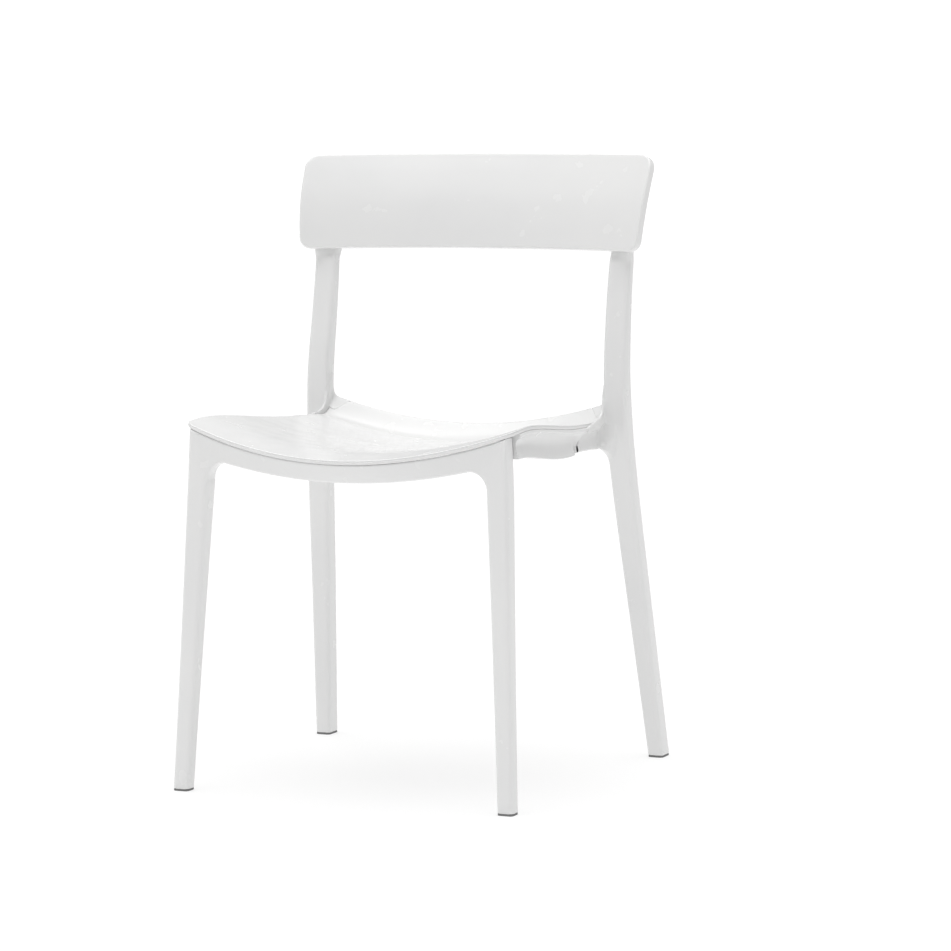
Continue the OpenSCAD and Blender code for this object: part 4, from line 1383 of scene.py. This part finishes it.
@dataclass
class Fasteners:
    """Screws, the caps over those of the back panel, and the foot glides."""

    form: ChairForm
    screw_d: float = 4.5
    head_d: float = 9.0
    head_h: float = 2.8
    rail_screw: float = 24.0
    back_seat: float = 6.5
    back_grip: float = 7.5
    cap_h: float = 4.0
    cap_over: float = 0.6
    cap_edge: float = 0.6
    seat_screw: float = 13.0
    glide_inset: float = 0.2
    pad_corner: float = 4.8
    stem_d: float = 8.0
    stem_height: float = 20.0

    def both(self, places: Array, aims: Array) -> tuple[Array, Array]:
        """The places and aims of both sides, in metres."""
        flip = np.array([-1, 1, 1])
        places, aims = np.asarray(places, float) * MM, np.asarray(aims, float)
        return np.concatenate([places, places * flip]), np.concatenate([aims, aims * flip])

    def screws(self, name: str, node: str, length: float, places: Array, aims: Array) -> None:
        """Makes one set of screws on both sides and ties it in."""
        sizes = {
            "Shank Diameter": self.screw_d * MM,
            "Shank Length": length * MM,
            "Head Diameter": self.head_d * MM,
            "Head Height": self.head_h * MM,
        }
        obj = self.tree.grow(name, *self.both(places, aims), sizes, ZINC_STEEL)
        settle(obj, ZINC_STEEL, Slot.STEEL, node)

    def back_places(self) -> tuple[Array, Array]:
        """Points on the back panel's rear and the direction into it, on the right-hand side."""
        f = self.form
        z = np.array([f.panel_low + 32, f.panel_low + 76])
        x = curve(z, f.line_x)
        return np.stack([x, f.panel_back_y(x, z), z], 1), -f.panel_normal(x, z)

    def build(self) -> None:
        """Builds every set and ties it in."""
        f = self.form
        self.tree = screw_tree()
        drop = f.fit_gap + f.tab_wall
        spots = [(x, y, float(f.boss_foot(x, y)) - drop) for x, y in screw_spots(f)]
        up = [(0, 0, 1)] * len(spots)
        self.screws("seat_fixing_screws", "seat_screws", self.seat_screw, spots, up)

        def joint(y: float, shift: float) -> tuple[float, float, float]:
            """Place of a screw at an end of the rail."""
            z = float(f.under_rim(f.side_x(y), y)) - f.rail_height / 2 - 3
            return float(f.pocket_x(y)) - self.head_d / 2 - 1, y + shift, z

        wall = f.rail_end_wall
        ends = [joint(f.rail_front_y, wall), joint(f.arm_tip_y, -3 - wall)]
        along = [(0, -1, 0), (0, 1, 0)]
        self.screws("rail_fixing_screws", "rail_screws", self.rail_screw, ends, along)
        places, aims = self.back_places()
        heads = places - aims * self.back_seat
        length = self.back_seat + self.back_grip - 0.5
        self.screws("back_fixing_screws", "back_screws", length, heads, aims)
        caps = heads - aims * (self.head_h + f.fit_gap + self.cap_h)
        sizes = {
            "Cap Diameter": (self.head_d + self.cap_over) * MM,
            "Cap Height": self.cap_h * MM,
            "Edge": self.cap_edge * MM,
        }
        obj = cap_tree().grow("back_screw_covers", *self.both(caps, aims), sizes, SATIN_WHITE)
        settle(obj, SATIN_WHITE, Slot.WHITE, "back_screw_caps")
        self.glides()

    def glides(self) -> None:
        """Builds the four foot glides and ties them in."""
        f, tree = self.form, glide_tree()
        down = 1 - f.foot_z / f.knee_z
        front = (f.front_top_x + f.front_splay * down, f.front_top_y - f.front_rake * down, 0)
        rear = (float(curve(f.foot_z, f.line_x)), float(curve(f.foot_z, f.line_y)), 0)
        for row, place, w, d in (
            ("front", front, f.front_foot_w, f.front_foot_w),
            ("rear", rear, f.rear_foot_w, f.rear_foot_d),
        ):
            sizes = {
                "Pad Width": (w - 2 * self.glide_inset) * MM,
                "Pad Depth": (d - 2 * self.glide_inset) * MM,
                "Pad Height": (f.foot_z - 0.05) * MM,
                "Pad Corner": self.pad_corner * MM,
                "Stem Diameter": self.stem_d * MM,
                "Stem Top": (f.foot_z + self.stem_height) * MM,
            }
            obj = tree.grow(f"{row}_glides", *self.both([place], [(0, 0, 1)]), sizes, GREY_NYLON)
            nodes = [f"{row}_{hand}_glide" for hand in ("left", "right")]
            settle(obj, GREY_NYLON, Slot.GLIDE, *nodes)


# ---------- studio ----------


@dataclass(frozen=True)
class Lamp:
    """A broad, even light from one side, as from a large softbox far away."""

    name: str
    toward: tuple[float, float, float]
    spread: float
    power: float

    def build(self) -> None:
        """Hangs the lamp."""
        light = bpy.data.lights.new(self.name, "SUN")
        light.angle = math.radians(self.spread)
        light.energy = self.power
        obj = placed(self.name, light)
        obj.location = Vector(self.toward) * -4
        obj.rotation_mode = "QUATERNION"
        obj.rotation_quaternion = Vector(self.toward).to_track_quat("-Z", "Y")


@dataclass
class Studio:
    """Pale floor, soft light and the camera."""

    azimuth: float = 22.859
    elevation: float = 5.109
    distance: float = 4.78
    target: tuple[float, float, float] = (0.0, 0.1895, 0.375)
    lens: float = 133.72
    sky: float = 0.46
    backdrop: float = 1.15
    floor_size: float = 60.0
    floor_grey: tuple[float, float, float] = (0.32, 0.32, 0.32)
    floor_glow: float = 0.66
    lamps: tuple[Lamp, ...] = (
        Lamp("overhead", (0.05, 0.05, -1.0), 70.0, 2.35),
        Lamp("left", (0.8, 0.5, -0.25), 60.0, 0.12),
    )

    def camera(self) -> None:
        """Sets the camera."""
        data = bpy.data.cameras.new("camera")
        data.lens = self.lens
        data.sensor_width = 36.0
        data.clip_end = 200.0
        camera = placed("camera", data)
        a, e = math.radians(self.azimuth), math.radians(self.elevation)
        back = Vector((math.sin(a) * math.cos(e), -math.cos(a) * math.cos(e), math.sin(e)))
        camera.location = Vector(self.target) + back * self.distance
        camera.rotation_mode = "QUATERNION"
        camera.rotation_quaternion = (-back).to_track_quat("-Z", "Y")
        bpy.context.scene.camera = camera

    def world(self) -> None:
        """Lights the scene from all round, with a brighter backdrop behind it."""
        world = bpy.data.worlds.new("studio")
        bpy.context.scene.world = world
        world.use_nodes = True
        tree = world.node_tree
        light = fill(tree.nodes["Background"], {"Color": WHITE_LIGHT, "Strength": self.sky})
        seen = tree.nodes.new("ShaderNodeBackground")
        fill(seen, {"Color": WHITE_LIGHT, "Strength": self.backdrop})
        by_camera = tree.nodes.new("ShaderNodeLightPath").outputs["Is Camera Ray"]
        mix = tree.nodes.new("ShaderNodeMixShader")
        fill(mix, {0: by_camera, 1: light.outputs[0], 2: seen.outputs[0]})
        fill(tree.nodes["World Output"], {"Surface": mix.outputs[0]})

    def floor(self) -> None:
        """Lays the floor."""
        s = self.floor_size / 2
        mesh = bpy.data.meshes.new("floor")
        mesh.from_pydata([(-s, -s, 0), (s, -s, 0), (s, s, 0), (-s, s, 0)], [], [(0, 1, 2, 3)])
        material = bpy.data.materials.new("pale_floor")
        material.use_nodes = True
        fill(
            material.node_tree.nodes["Principled BSDF"],
            {
                "Base Color": (*self.floor_grey, 1.0),
                "Emission Color": WHITE_LIGHT,
                "Emission Strength": self.floor_glow,
                "Roughness": 0.6,
                "Specular IOR Level": 0.2,
            },
        )
        mesh.materials.append(material)
        placed("floor", mesh)

    def build(self) -> None:
        """Sets up the whole studio."""
        self.camera()
        self.world()
        self.floor()
        for lamp in self.lamps:
            lamp.build()
        bpy.context.scene.view_settings.view_transform = "Standard"


def main() -> None:
    """Builds the chair and its studio."""
    logging.basicConfig(level=logging.INFO, format="%(name)s %(message)s")
    Studio().build()
    form = ChairForm.from_frame()
    SeatPanel(form).build()
    FrontFrame(form).build()
    RearFrame(form).build()
    for hand in Hand:
        SideRail(form, hand).build()
    BackPanel(form).build()
    Fasteners(form).build()


if __name__ == "__main__":
    main()
